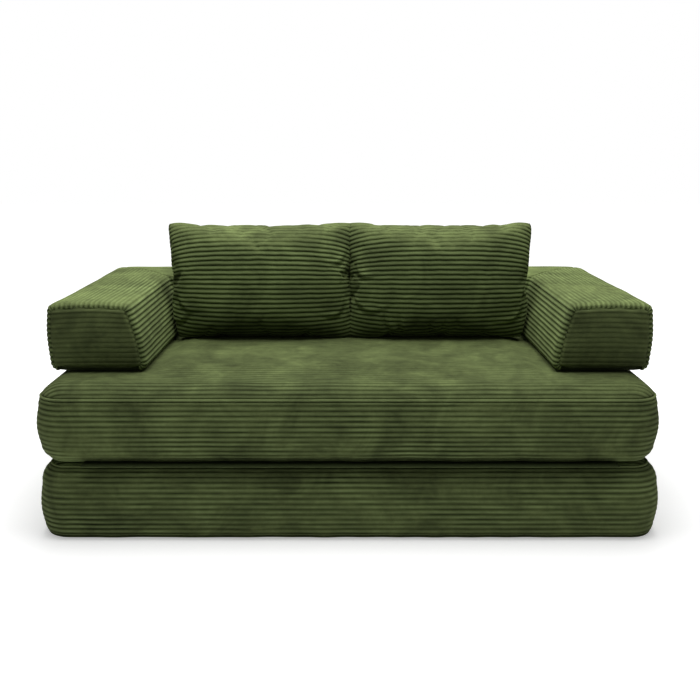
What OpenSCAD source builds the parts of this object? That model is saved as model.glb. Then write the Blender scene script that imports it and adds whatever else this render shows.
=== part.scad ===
// Two-seat corduroy sofa bed made of two foam mattresses laid on each other, with a U-shaped
// bolster for arms and back and two loose pillows. The lower mattress is joined to the seat by a
// fabric hinge along the front crease and swings out to the front to make the bed.
// Millimetres. +Z is up, the front faces -Y, and the origin is under the middle of the sofa.

/* [Mattresses] */
// Width of both mattresses, side to side
mattress_w = 1750; // [1400:10:2100]
// Depth of both mattresses, front to back
mattress_d = 1000; // [860:10:1100]
// Thickness of one mattress
mattress_t = 225; // [180:5:260]
// Radius of the mattress corners seen from above
mattress_corner_r = 95; // [80:5:130]
// Radius of the rounding along the upper edges of a mattress
mattress_edge_r = 72; // [60:1:78]
// Radius of the rounding along its lower edges, which the weight presses tighter
mattress_foot_r = 46; // [36:1:56]
// How far the boxing of a mattress bulges between its seams
mattress_bulge = 8; // [2:1:12]
// How far the seat rises in its middle
seat_crown = 12; // [4:1:24]
// Distance from the mattress edge to where the seat has its full height
crown_reach = 235; // [150:5:260]

/* [Arms and back] */
// Height of the arms and the back above the seat
arm_h = 205; // [150:5:240]
// Width of an arm along its top
arm_top_w = 235; // [180:5:260]
// Width of an arm where it stands on the seat
arm_bottom_w = 300; // [265:5:320]
// How much wider the back is than an arm
back_extra_w = 25; // [0:5:60]
// Distance from the front of the seat to the front of the arms
arm_setback = 166; // [100:2:220]
// How far arms and back stand out past the mattress
arm_overhang = 0; // [0:1:30]
// Radius of the rounding along the edges of arms and back
arm_edge_r = 42; // [36:1:50]
// Radius of the rounding round the front end of an arm
arm_end_r = 36; // [30:1:44]
// Radius of the outer back corner seen from above
back_corner_r = 95; // [80:5:120]
// How far the faces of arms and back bulge
arm_bulge = 7; // [2:1:10]

/* [Pillows] */
// Height of a pillow from corner to corner
pillow_h = 394; // [360:2:460]
// Thickness of a pillow in its middle
pillow_t = 190; // [150:5:220]
// How far the side seams are drawn in between the corners
pillow_side_draw = 13; // [5:1:20]
// How far the top seam is drawn in between the corners
pillow_top_draw = 9; // [4:1:16]
// How far the bottom seam is pressed flat by the seat
pillow_press = 13; // [8:1:17]
// How far a pillow leans back, in degrees
pillow_lean = 7; // [3:1:12]
// Thickness of the seam round a pillow
seam_t = 4; // [2:0.5:6]
// Space between the two pillows
pillow_space = 8; // [2:1:30]
// How far the outer corner of a pillow reaches over the foot of the slanted arm beside it
pillow_reach = 16; // [0:1:18]

/* [Covers and fillings] */
// Thickness of a cover with the fibre wadding quilted to it
wadding_t = 20; // [16:1:24]
// Chamfer along the edges of the mattress foam
foam_chamfer = 14; // [12:1:20]
// Space between a cover and the foam inside it
foam_clearance = 0.5; // [0.3:0.1:2]
// Space left between soft pieces that lie against each other
piece_gap = 0.3; // [0.2:0.1:0.6]
// Thickness of a pillow's cover with its wadding
pillow_wall = 24; // [20:1:30]

/* [Zips] */
// Width of a zip's two tapes together
zip_tape_w = 26; // [20:1:32]
// Thickness of the tape
zip_tape_t = 0.8; // [0.5:0.1:1.2]
// Width of the closed coil
zip_coil_w = 6; // [4:0.5:8]
// Thickness of the coil
zip_coil_t = 2.2; // [1.6:0.1:3]
// Width of the slit in a cover behind its zip
zip_slit_w = 3; // [2:0.5:5]
// Running space between a slider and its coil
zip_clearance = 0.3; // [0.2:0.05:0.5]
// Thickness of a slider's walls
slider_wall = 1.2; // [0.8:0.1:1.6]
// Length of a slider's body
slider_l = 12; // [9:1:16]
// Length of the pull tab
pull_l = 24; // [16:1:30]
// Width of the pull tab
pull_w = 6; // [4:0.5:8]
// Thickness of the pull tab
pull_t = 1.2; // [0.8:0.1:1.6]
// Width of the slot in the pull tab
pull_slot_w = 2; // [1:0.5:3]
// Length of the zip in the seat cover
seat_zip_l = 1300; // [900:10:1350]
// Length of the zip in the cover of the fold-out mattress
fold_out_zip_l = 1300; // [900:10:1350]
// Length of the zip in the back of the bolster
bolster_zip_l = 1200; // [800:10:1300]
// Length of the zip in a pillow
pillow_zip_l = 400; // [300:10:440]
// Height of the bolster's zip above the seat
bolster_zip_z = 66; // [60:1:90]
// Distance from the rear edge of the fold-out mattress to its zip
fold_out_zip_inset = 150; // [120:5:200]

/* [Hinge and fasteners] */
// Thickness of the hinge fabric
hinge_t = 0.9; // [0.6:0.1:1.2]
// Depth of the hinge fabric that is sewn to each mattress
hinge_grip = 60; // [40:5:90]
// Distance from the ends of the mattress to the ends of the hinge
hinge_end_inset = 130; // [110:5:200]
// Space between the fronts of the mattresses and the hinge axis
hinge_clearance = 1; // [0.5:0.1:2]
// Width of the hook and loop tapes
hook_tape_w = 50; // [30:5:60]
// Thickness of a hook or loop tape
hook_tape_t = 1.4; // [1:0.1:2]
// Length of the tapes under each arm
arm_tape_l = 420; // [300:10:460]
// Length of the tapes under the back
back_tape_l = 900; // [600:10:1100]

/* [Hidden] */

// How many steps the curves are drawn in
corner_steps = 5;
edge_steps = 5;
side_steps = 4;
crown_steps = 4;
bow_steps = 4;
end_steps = 4;
turn_steps = 6;
pillow_u_steps = 20;
pillow_v_steps = 14;
filling_u_steps = 12;
filling_v_steps = 8;
touch_steps = 100;

// Smallest radius that an inner corner keeps
least_r = 4;
// Share of a row's distance from the outer faces by which its turn round the back corner tightens
turn_tighten_share = 1.6;
// Depth by which a form is cut flat where it stands
flat_cut = 0.5;
// Overrun of every cut
over = 10;
// Powers that round off the swell of a pillow
swell_share = 2.3;
edge_swell_share = 0.5;

overall_d = mattress_d + arm_overhang;
front_y = -overall_d / 2 + hinge_clearance;
back_y = overall_d / 2;
mattress_depth = mattress_d - 2 * hinge_clearance;
mattress_y = front_y + mattress_depth / 2;
mattress_back = front_y + mattress_depth;
layer_h = mattress_t - piece_gap;
seat_z = mattress_t + piece_gap;
bolster_z = 2 * mattress_t + piece_gap;
plateau_z = 2 * mattress_t + seat_crown;
foam_side = wadding_t + mattress_bulge;
bolster_x = mattress_w / 2 + arm_overhang;
bolster_front = -overall_d / 2 + arm_setback;
back_bottom_w = arm_bottom_w + back_extra_w;
slope = atan((arm_bottom_w - arm_top_w) / arm_h);
hinge_y = -overall_d / 2;
zip_roof = zip_tape_t + zip_coil_t + zip_clearance;
zip_rise = zip_roof + max(slider_wall, pull_t);
zip_depth = zip_rise + zip_clearance;
slider_w = zip_coil_w + 2 * (zip_clearance + slider_wall);
recess_side = piece_gap;

green = "#56642f";
foam_colour = "#e9dfb4";
fibre_colour = "#f1efe8";
zip_colour = "#39421f";
metal_colour = "#6f6a58";
tape_colour = "#2b2d22";

// Closed skin over a stack of rings, with a point in the middle of each end
module skin(rings, first, last) {
  n = len(rings[0]);
  m = len(rings);
  points = concat([first], [for (ring = rings) each ring], [last]);
  foot = [for (i = [0:n - 1]) [0, 1 + i, 1 + (i + 1) % n]];
  wall = [
    for (j = [0:m - 2]) for (i = [0:n - 1])
      let (k = (i + 1) % n, a = 1 + j * n)
      each [[a + i, a + n + i, a + n + k], [a + i, a + n + k, a + k]]
  ];
  head = [for (i = [0:n - 1]) [1 + m * n, 1 + (m - 1) * n + (i + 1) % n, 1 + (m - 1) * n + i]];
  polyhedron(points, concat(foot, wall, head));
}

// Outline seen from above: a rectangle w by d with rounded corners, drawn in by inset
function plan_outline(w, d, r, inset) =
  let (rr = max(r - inset, least_r))
  [
    for (c = [0:3]) for (k = [0:corner_steps])
      let (
        a = 90 * (c + k / corner_steps),
        sx = (c == 0 || c == 3) ? 1 : -1,
        sy = c < 2 ? 1 : -1
      )
      [sx * (w / 2 - inset - rr) + rr * cos(a), sy * (d / 2 - inset - rr) + rr * sin(a)]
  ];

function lifted(outline, z) = [for (p = outline) [p[0], p[1], z]];

// Stations up a mattress of height h: how far the ring is drawn in, and its height
function mattress_stations(h, crown) = concat(
  [
    for (k = [0:edge_steps]) let (a = 90 * k / edge_steps)
      [mattress_bulge + mattress_foot_r * (1 - sin(a)), mattress_foot_r * (1 - cos(a))]
  ],
  [
    for (k = [1:side_steps - 1]) let (s = k / side_steps)
      [
        mattress_bulge * (1 - sin(180 * s)),
        mattress_foot_r + (h - mattress_foot_r - mattress_edge_r) * s
      ]
  ],
  [
    for (k = [0:edge_steps]) let (a = 90 * k / edge_steps)
      [mattress_bulge + mattress_edge_r * (1 - cos(a)), h - mattress_edge_r * (1 - sin(a))]
  ],
  crown == 0 ? [] : [
    for (k = [1:crown_steps]) let (s = k / crown_steps)
      [
        mattress_bulge + mattress_edge_r + (crown_reach - mattress_bulge - mattress_edge_r) * s,
        h + crown * (1 - cos(180 * s)) / 2
      ]
  ]
);

// Mattress with rounded edges and bulging boxing, standing flat on its underside
module mattress_form(crown) {
  h = layer_h + flat_cut;
  stations = mattress_stations(h, crown);
  rings = [
    for (s = stations)
      lifted(plan_outline(mattress_w, mattress_depth, mattress_corner_r, s[0]), s[1])
  ];
  difference() {
    translate([0, mattress_y, -flat_cut])
      skin(rings, [0, 0, 0], [0, 0, h + crown]);
    translate([0, mattress_y, -over])
      linear_extrude(over)
        square([mattress_w, mattress_d + over], center = true);
  }
}

// Foam block with chamfered edges, or the space for it when grown
module mattress_block(grow) {
  low = wadding_t - grow;
  high = layer_h - low;
  side = foam_side - grow;
  cut = foam_chamfer;
  stations = [[side + cut, low], [side, low + cut], [side, high - cut], [side + cut, high]];
  rings = [
    for (s = stations)
      lifted(plan_outline(mattress_w, mattress_depth, mattress_corner_r, s[0]), s[1])
  ];
  translate([0, mattress_y, 0])
    skin(rings, [0, 0, low], [0, 0, high]);
}

// Area on which arms and back stand, seen from above
module bolster_footprint() {
  difference() {
    translate([-bolster_x, bolster_front])
      square([2 * bolster_x, back_y - bolster_front + over]);
    translate([arm_bottom_w - bolster_x, bolster_front - over])
      square([2 * (bolster_x - arm_bottom_w), back_y - back_bottom_w - bolster_front + over]);
  }
}

// Points that bow out by b between p and q
function bow(p, q, b) =
  let (d = q - p, out = [d[1], -d[0]] / norm(d))
  [for (k = [1:bow_steps - 1]) p + d * k / bow_steps + out * b * sin(180 * k / bow_steps)];

function arc(c, r, a0, a1) =
  [for (k = [0:edge_steps]) let (a = a0 + (a1 - a0) * k / edge_steps) c + r * [cos(a), sin(a)]];

// Cross-section of an arm or the back, as [distance in from the outer face, height]
function bolster_section(bottom_w, inset) =
  let (
    h = arm_h + flat_cut,
    set = arm_edge_r + arm_bulge,
    r = arm_edge_r - inset,
    low = arm_edge_r,
    high = h - set,
    inner_low = bottom_w - (set + low * sin(slope)) / cos(slope),
    inner_high = bottom_w - (set + high * sin(slope)) / cos(slope),
    a = arc([inner_low, low], r, -90, slope),
    b = arc([inner_high, high], r, slope, 90),
    c = arc([set, high], r, 90, 180),
    d = arc([set, low], r, 180, 270),
    last = edge_steps
  )
  concat(
    a, bow(a[last], b[0], arm_bulge), b, bow(b[last], c[0], arm_bulge),
    c, bow(c[last], d[0], arm_bulge), d
  );

// Ring across an arm at the distance y, on the side sx
function arm_ring(sx, y, inset) =
  [for (p = bolster_section(arm_bottom_w, inset)) [sx * (bolster_x - p[0]), y, p[1] - flat_cut]];

// Ring through the back corner at the angle a, from 0 at the arm to 90 at the back
function corner_ring(sx, a) =
  let (
    arm = bolster_section(arm_bottom_w, 0),
    back = bolster_section(back_bottom_w, 0)
  )
  [
    for (i = [0:len(arm) - 1])
      let (
        r = max(back_corner_r - turn_tighten_share * (arm[i][0] + back[i][0]) / 2, least_r),
        cx = bolster_x - arm[i][0] - r,
        cy = back_y - back[i][0] - r
      )
      [sx * (cx + r * cos(a)), cy + r * sin(a), arm[i][1] - flat_cut]
  ];

// Rounded front end of the arm on the side sx, from the end face to the full section
function end_rings(sx) = [
  for (k = [0:end_steps]) let (a = 90 * k / end_steps)
    arm_ring(sx, bolster_front + arm_end_r * (1 - cos(a)), arm_end_r * (1 - sin(a)))
];

function reversed(list) = [for (i = [len(list) - 1:-1:0]) list[i]];

// U-shaped bolster: one section swept along the right arm, the back and the left arm
module bolster_form() {
  turn = [for (k = [0:turn_steps]) 90 * k / turn_steps];
  rings = concat(
    end_rings(1),
    [for (a = turn) corner_ring(1, a)],
    [for (a = reversed(turn)) corner_ring(-1, a)],
    reversed(end_rings(-1))
  );
  middle = [bolster_x - arm_bottom_w / 2, bolster_front, arm_h / 2];
  difference() {
    skin(rings, middle, [-middle[0], middle[1], middle[2]]);
    translate([-bolster_x, bolster_front, -over])
      cube([2 * bolster_x, overall_d, over]);
  }
}

// Plain section of the foam inside the bolster, as [distance in from the outer face, height]
function foam_section(bottom_w, grow) =
  let (
    inset = wadding_t + arm_bulge - grow,
    low = wadding_t - grow,
    high = arm_h - inset,
    face = bottom_w - inset / cos(slope)
  )
  [[inset, low], [face - low * tan(slope), low], [face - high * tan(slope), high], [inset, high]];

// Plan of the bolster's foam with its rounded back corners
module foam_plan(grow) {
  inset = wadding_t + arm_bulge - grow;
  polygon(plan_outline(2 * bolster_x, overall_d, back_corner_r, inset));
}

// Triangle behind the mitre on the side sx, moved back by shift
module mitre_plan(sx, shift) {
  reach = 2 * bolster_x * back_bottom_w / arm_bottom_w;
  polygon([
    [sx * bolster_x, back_y + shift], [-sx * bolster_x, back_y - reach + shift],
    [-sx * bolster_x, back_y + reach]
  ]);
}

module arm_block(sx, grow) {
  start = bolster_front + wadding_t - grow;
  intersection() {
    translate([0, back_y, 0])
      rotate([90, 0, 0])
        linear_extrude(back_y - start)
          polygon([for (p = foam_section(arm_bottom_w, grow)) [sx * (bolster_x - p[0]), p[1]]]);
    linear_extrude(arm_h)
      difference() {
        foam_plan(grow);
        mitre_plan(sx, grow);
      }
  }
}

module back_block(grow) {
  intersection() {
    translate([-bolster_x, 0, 0])
      rotate([90, 0, 90])
        linear_extrude(2 * bolster_x)
          polygon([for (p = foam_section(back_bottom_w, grow)) [back_y - p[0], p[1]]]);
    linear_extrude(arm_h)
      intersection() {
        foam_plan(grow);
        mitre_plan(1, foam_clearance - grow);
        mitre_plan(-1, foam_clearance - grow);
      }
  }
}

// Width of a pillow from corner to corner
pillow_w = bolster_x - arm_bottom_w + pillow_reach - pillow_space / 2;

// Half the thickness of a pillow, t at most, at the shares u of its width and v of its height
function swell(t, u, v) =
  t * pow(
    max(0, (1 - pow(abs(u), swell_share)) * (1 - pow(abs(v), swell_share))), edge_swell_share
  );

// Point of a pillow drawn in by inset, on its back (side 1) or front (side -1)
function pillow_point(u, v, side, inset) = [
  u * (pillow_w / 2 - inset - pillow_side_draw * (1 - v * v) * u * u),
  side * (seam_t / 2 + swell(pillow_t / 2 - seam_t / 2 - inset, u, v)),
  v * (pillow_h / 2 - inset - (v > 0 ? pillow_top_draw : 0) * (1 - u * u) * v * v)
];

// Pillow standing upright round the origin: two swelling panels joined by the seam round them
module pillow_form(inset, nu, nv) {
  us = [for (i = [0:nu]) sin(180 * i / nu - 90)];
  vs = [for (j = [0:nv]) sin(180 * j / nv - 90)];
  count = (nu + 1) * (nv + 1);
  points = [for (side = [-1, 1]) for (v = vs) for (u = us) pillow_point(u, v, side, inset)];
  function at(i, j) = j * (nu + 1) + i;
  panels = [
    for (j = [0:nv - 1]) for (i = [0:nu - 1])
      let (a = at(i, j), b = at(i + 1, j), c = at(i + 1, j + 1), d = at(i, j + 1))
      each [
        [a, d, c], [a, c, b],
        [count + a, count + c, count + d], [count + a, count + b, count + c]
      ]
  ];
  rim = concat(
    [for (i = [0:nu - 1]) at(i, 0)], [for (j = [0:nv - 1]) at(nu, j)],
    [for (i = [nu:-1:1]) at(i, nv)], [for (j = [nv:-1:1]) at(0, j)]
  );
  seam = [
    for (k = [0:len(rim) - 1])
      let (a = rim[k], b = rim[(k + 1) % len(rim)])
      each [[a, b, count + b], [a, count + b, count + a]]
  ];
  polyhedron(points, concat(panels, seam));
}

// Depth of the back's inner face at the height z above its foot, and a point of a pillow that leans
function back_face_y(z) = back_y - back_bottom_w + z * tan(slope);
function leaning(p) = [
  p[1] * cos(pillow_lean) + p[2] * sin(pillow_lean),
  p[2] * cos(pillow_lean) - p[1] * sin(pillow_lean)
];

// The pillows fill the seat between the arms, stand pressed flat on it and lean on the back
pillow_foot = plateau_z + piece_gap;
pillow_mid = pillow_foot - pillow_press + pillow_h / 2 * cos(pillow_lean);
touch_room = min([
  for (k = [0:touch_steps])
    let (
      p = leaning(pillow_point(0, 2 * k / touch_steps - 1, 1, 0)),
      z = p[1] + pillow_mid - bolster_z
    )
      if (z > 0 && z < arm_h - arm_edge_r) back_face_y(z) - p[0]
]);
pillow_y = touch_room - piece_gap / cos(slope);
pillow_x = (pillow_w + pillow_space) / 2;

module place_pillow(sx) {
  translate([sx * pillow_x, pillow_y, pillow_mid])
    rotate([-pillow_lean, 0, 0])
      children();
}

module pillow_filling_form(sx, grow) {
  place_pillow(sx)
    pillow_form(pillow_wall - grow, filling_u_steps, filling_v_steps);
}

// Zip along X on the plane z = 0, with its outside up
module zip_strip(length) {
  translate([-length / 2, -zip_tape_w / 2, 0])
    cube([length, zip_tape_w, zip_tape_t]);
  translate([-length / 2, -zip_coil_w / 2, zip_tape_t])
    cube([length, zip_coil_w, zip_coil_t]);
}

// Slider over the coil at the closed end of a zip, with its pull tab lying along the coil
module zip_slider(length) {
  foot = zip_tape_t + zip_clearance;
  inner_w = zip_coil_w + 2 * zip_clearance;
  translate([length / 2 - slider_l, 0, 0])
    difference() {
      translate([0, -slider_w / 2, foot])
        cube([slider_l, slider_w, zip_roof + slider_wall - foot]);
      translate([-over, -inner_w / 2, zip_roof - over])
        cube([slider_l + 2 * over, inner_w, over]);
    }
  translate([length / 2 - slider_l - pull_l, 0, zip_roof])
    linear_extrude(pull_t)
      difference() {
        translate([0, -pull_w / 2])
          square([pull_l, pull_w]);
        translate([pull_w / 2, -pull_slot_w / 2])
          square([pull_l / 2, pull_slot_w]);
      }
}

// Recess that takes a zip, its slider and its pull tab, and the slit behind it into a cover
module zip_recess(length, wall) {
  l = length + 2 * recess_side;
  w = zip_tape_w + 2 * recess_side;
  translate([-l / 2, -w / 2, 0])
    cube([l, w, zip_depth + over]);
  translate([-length / 2 + slider_l, -zip_slit_w / 2, -wall])
    cube([length - 2 * slider_l, zip_slit_w, wall + over]);
}

module at_seat_zip() {
  translate([0, mattress_back - zip_depth, seat_z + layer_h / 2])
    rotate([-90, 0, 0])
      children();
}

module at_fold_out_zip() {
  translate([0, mattress_back - fold_out_zip_inset, layer_h - zip_depth])
    children();
}

module at_bolster_zip() {
  translate([0, back_y - arm_bulge - zip_depth, bolster_z + bolster_zip_z])
    rotate([-90, 0, 0])
      children();
}

module at_pillow_zip(sx) {
  y = pillow_y - pillow_h / 2 * sin(pillow_lean);
  translate([sx * pillow_x, y, pillow_foot + zip_depth])
    rotate([180, 0, 0])
      children();
}

// Plan of the hinge fabric, from its sewn edge to the axis in front, grown at the ends and behind
module hinge_plan(grow) {
  length = mattress_w - 2 * hinge_end_inset + 2 * grow;
  depth = mattress_edge_r + mattress_bulge + hinge_grip + grow;
  translate([-length / 2, hinge_y + hinge_clearance / 2])
    square([length, depth]);
}

// Plans of the tapes under an arm and under the back
module arm_tape_plan(sx, grow) {
  middle_w = arm_bottom_w - arm_overhang;
  translate([sx * (bolster_x - arm_bottom_w + middle_w / 2), (bolster_front + back_y - back_bottom_w) / 2])
    square([hook_tape_w + 2 * grow, arm_tape_l + 2 * grow], center = true);
}

module back_tape_plan(grow) {
  middle_w = back_bottom_w - arm_overhang;
  translate([0, back_y - back_bottom_w + middle_w / 2])
    square([back_tape_l + 2 * grow, hook_tape_w + 2 * grow], center = true);
}

module tape_plans(grow) {
  arm_tape_plan(1, grow);
  arm_tape_plan(-1, grow);
  back_tape_plan(grow);
}

module hook_tape_of() {
  color(tape_colour)
    translate([0, 0, bolster_z])
      linear_extrude(hook_tape_t)
        children();
}

module loop_tape_of() {
  color(tape_colour)
    translate([0, 0, 2 * mattress_t - hook_tape_t])
      linear_extrude(hook_tape_t)
        children();
}

module seat_cover() {
  color(green)
    difference() {
      translate([0, 0, seat_z]) mattress_form(seat_crown);
      translate([0, 0, seat_z]) mattress_block(foam_clearance);
      translate([0, 0, 2 * mattress_t])
        linear_extrude(seat_crown + over)
          bolster_footprint();
      at_seat_zip() zip_recess(seat_zip_l, foam_side);
      translate([0, 0, seat_z - over])
        linear_extrude(over + hinge_t)
          hinge_plan(recess_side);
      translate([0, 0, 2 * mattress_t - hook_tape_t])
        linear_extrude(hook_tape_t + over)
          tape_plans(recess_side);
    }
}

module seat_foam() {
  color(foam_colour)
    translate([0, 0, seat_z])
      mattress_block(0);
}

module seat_zip() {
  color(zip_colour) at_seat_zip() zip_strip(seat_zip_l);
}

module seat_zip_slider() {
  color(metal_colour) at_seat_zip() zip_slider(seat_zip_l);
}

module fold_out_cover() {
  color(green)
    difference() {
      mattress_form(0);
      mattress_block(foam_clearance);
      at_fold_out_zip() zip_recess(fold_out_zip_l, foam_side);
      translate([0, 0, layer_h - hinge_t])
        linear_extrude(hinge_t + over)
          hinge_plan(recess_side);
    }
}

module fold_out_foam() {
  color(foam_colour) mattress_block(0);
}

module fold_out_zip() {
  color(zip_colour) at_fold_out_zip() zip_strip(fold_out_zip_l);
}

module fold_out_zip_slider() {
  color(metal_colour) at_fold_out_zip() zip_slider(fold_out_zip_l);
}

module hinge_fabric_upper() {
  color(green)
    translate([0, 0, seat_z])
      linear_extrude(hinge_t)
        hinge_plan(0);
}

module hinge_fabric_lower() {
  color(green)
    translate([0, 0, layer_h - hinge_t])
      linear_extrude(hinge_t)
        hinge_plan(0);
}

module bolster_cover() {
  color(green)
    difference() {
      translate([0, 0, bolster_z]) bolster_form();
      translate([0, 0, bolster_z]) {
        arm_block(1, foam_clearance);
        arm_block(-1, foam_clearance);
        back_block(foam_clearance);
      }
      at_bolster_zip() zip_recess(bolster_zip_l, foam_side);
      translate([0, 0, bolster_z - over])
        linear_extrude(over + hook_tape_t)
          tape_plans(recess_side);
    }
}

module left_arm_foam() {
  color(foam_colour) translate([0, 0, bolster_z]) arm_block(-1, 0);
}

module right_arm_foam() {
  color(foam_colour) translate([0, 0, bolster_z]) arm_block(1, 0);
}

module back_foam() {
  color(foam_colour) translate([0, 0, bolster_z]) back_block(0);
}

module bolster_zip() {
  color(zip_colour) at_bolster_zip() zip_strip(bolster_zip_l);
}

module bolster_zip_slider() {
  color(metal_colour) at_bolster_zip() zip_slider(bolster_zip_l);
}

module pillow_cover(sx) {
  color(green)
    difference() {
      place_pillow(sx) pillow_form(0, pillow_u_steps, pillow_v_steps);
      pillow_filling_form(sx, foam_clearance);
      translate([sx * pillow_x - pillow_w / 2, pillow_y - pillow_h, pillow_foot - pillow_h])
        cube([pillow_w, 2 * pillow_h, pillow_h]);
      at_pillow_zip(sx) zip_recess(pillow_zip_l, pillow_wall);
    }
}

module pillow_filling(sx) {
  color(fibre_colour) pillow_filling_form(sx, 0);
}

module pillow_zip(sx) {
  color(zip_colour) at_pillow_zip(sx) zip_strip(pillow_zip_l);
}

module pillow_zip_slider(sx) {
  color(metal_colour) at_pillow_zip(sx) zip_slider(pillow_zip_l);
}

seat_cover();
seat_foam();
seat_zip();
seat_zip_slider();
fold_out_cover();
fold_out_foam();
fold_out_zip();
fold_out_zip_slider();
hinge_fabric_upper();
hinge_fabric_lower();
bolster_cover();
left_arm_foam();
right_arm_foam();
back_foam();
bolster_zip();
bolster_zip_slider();
hook_tape_of() arm_tape_plan(-1, 0);  // left_arm_hook_tape
hook_tape_of() arm_tape_plan(1, 0);  // right_arm_hook_tape
hook_tape_of() back_tape_plan(0);  // back_hook_tape
loop_tape_of() arm_tape_plan(-1, 0);  // left_arm_loop_tape
loop_tape_of() arm_tape_plan(1, 0);  // right_arm_loop_tape
loop_tape_of() back_tape_plan(0);  // back_loop_tape
pillow_cover(-1);  // left_pillow_cover
pillow_filling(-1);  // left_pillow_filling
pillow_zip(-1);  // left_pillow_zip
pillow_zip_slider(-1);  // left_pillow_zip_slider
pillow_cover(1);  // right_pillow_cover
pillow_filling(1);  // right_pillow_filling
pillow_zip(1);  // right_pillow_zip
pillow_zip_slider(1);  // right_pillow_zip_slider
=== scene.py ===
"""Looks of a corduroy sofa bed: its sewn covers, pillows, zips and hinge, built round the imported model.

Every place is in metres in the frame's own axes: X to the right, Y to the back, Z up.
"""
import logging
import math
from collections.abc import Sequence
from dataclasses import dataclass
from enum import Enum

import bpy
import numpy as np
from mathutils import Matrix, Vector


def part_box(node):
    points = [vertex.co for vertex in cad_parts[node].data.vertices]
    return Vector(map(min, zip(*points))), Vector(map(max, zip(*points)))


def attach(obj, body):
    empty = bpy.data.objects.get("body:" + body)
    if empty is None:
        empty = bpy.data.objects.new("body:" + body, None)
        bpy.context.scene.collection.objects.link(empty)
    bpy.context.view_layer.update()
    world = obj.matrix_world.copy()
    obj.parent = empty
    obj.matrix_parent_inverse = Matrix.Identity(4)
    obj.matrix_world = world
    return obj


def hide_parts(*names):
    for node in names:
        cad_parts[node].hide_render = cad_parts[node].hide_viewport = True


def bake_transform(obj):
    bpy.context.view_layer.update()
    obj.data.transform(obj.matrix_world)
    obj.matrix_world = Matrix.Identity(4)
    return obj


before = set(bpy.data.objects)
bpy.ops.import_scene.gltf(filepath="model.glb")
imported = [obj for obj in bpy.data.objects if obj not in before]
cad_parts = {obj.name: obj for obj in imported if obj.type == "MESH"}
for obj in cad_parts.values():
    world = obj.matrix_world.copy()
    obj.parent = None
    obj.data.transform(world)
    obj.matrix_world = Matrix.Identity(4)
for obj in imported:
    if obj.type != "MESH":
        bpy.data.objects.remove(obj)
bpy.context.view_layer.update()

log = logging.getLogger("sofa_bed")

MM = 0.001
WHITE = (1.0, 1.0, 1.0, 1.0)

# Shares of a rib's pitch at which a cover has a row of vertices, from groove to groove
ROW_SHARES = np.array([0.0, 0.10, 0.27, 0.50, 0.73, 0.90])
# Distances from a seam at which a panel has a column of vertices
SEAM_STEPS = np.array([0.0, 2.0, 4.0, 7.0, 11.0, 16.0, 23.0, 32.0, 44.0, 60.0]) * MM
# Flat sides of a piping cord
CORD_SIDES = 10
# Waves that add up to one uneven field, and how much their lengths vary
WAVES = 24
WAVE_SPREAD = (0.6, 1.4)
# Distances from a mitre seam at which the bolster has a station
MITRE_STEPS = np.array([110.0, 84, 64, 48, 36, 27, 20, 14, 10, 7, 4.5, 2.2]) * MM
# Turns places on the right into those on the left
MIRROR = np.array([-1.0, 1.0, 1.0])
# Steps by which a pillow's panel is measured from seam to seam
MEASURED_STEPS = 300
# Steps of the cloth simulation that swells a pillow
SWELL_STEPS = 14
# Folds low on the pillows: X and Z of the middle, direction and length
LEFT_FOLDS = (
    ((-0.550, 0.560), -0.6, 0.07), ((-0.560, 0.515), 0.3, 0.06),
    ((-0.030, 0.710), 0.5, 0.05), ((-0.040, 0.535), 0.5, 0.06),
)
RIGHT_FOLDS = (
    ((0.035, 0.665), -0.5, 0.05), ((0.045, 0.555), -0.4, 0.09), ((0.120, 0.505), -1.0, 0.07),
    ((0.165, 0.500), -1.1, 0.06), ((0.270, 0.495), -0.9, 0.05), ((0.555, 0.530), 0.75, 0.09),
)


def linear(hex_colour: str) -> tuple[float, float, float, float]:
    """Linear colour of an sRGB hex value.

    Args:
        hex_colour: the colour as "#rrggbb".

    Returns:
        Red, green, blue and an alpha of one.
    """
    srgb = [int(hex_colour[i:i + 2], 16) / 255 for i in (1, 3, 5)]
    return tuple(c / 12.92 if c <= 0.04045 else ((c + 0.055) / 1.055) ** 2.4 for c in srgb) + (1.0,)


def add_node(
    tree: bpy.types.NodeTree, kind: str, settings: dict[object, object] | None = None,
    links: dict[object, bpy.types.Node | bpy.types.NodeSocket] | None = None,
) -> bpy.types.Node:
    """Adds one shader node with its settings and links.

    Args:
        tree: the material's or world's node tree.
        kind: the node's type name, without its leading "ShaderNode".
        settings: values by name, of the node's own properties or else of its inputs, and a ramp's "stops", which
            are places and hex colours.
        links: what goes into an input, by its name or number: a socket, or a node for its first one.

    Returns:
        The new node.
    """
    node = tree.nodes.new("ShaderNode" + kind)
    for name, value in (settings or {}).items():
        if name == "stops":
            for k, (place, colour) in enumerate(value):
                element = node.color_ramp.elements[k] if k < 2 else node.color_ramp.elements.new(place)
                element.position, element.color = place, linear(colour)
        elif isinstance(name, str) and hasattr(node, name):
            setattr(node, name, value)
        else:
            node.inputs[name].default_value = value
    for name, source in (links or {}).items():
        tree.links.new(source.outputs[0] if isinstance(source, bpy.types.Node) else source, node.inputs[name])
    return node


def new_material(name: str) -> tuple[bpy.types.Material, bpy.types.NodeTree]:
    """Makes an empty material.

    Args:
        name: the material's name.

    Returns:
        The material and its node tree.
    """
    material = bpy.data.materials.new(name)
    material.use_nodes = True
    material.node_tree.nodes.clear()
    return material, material.node_tree


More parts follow.
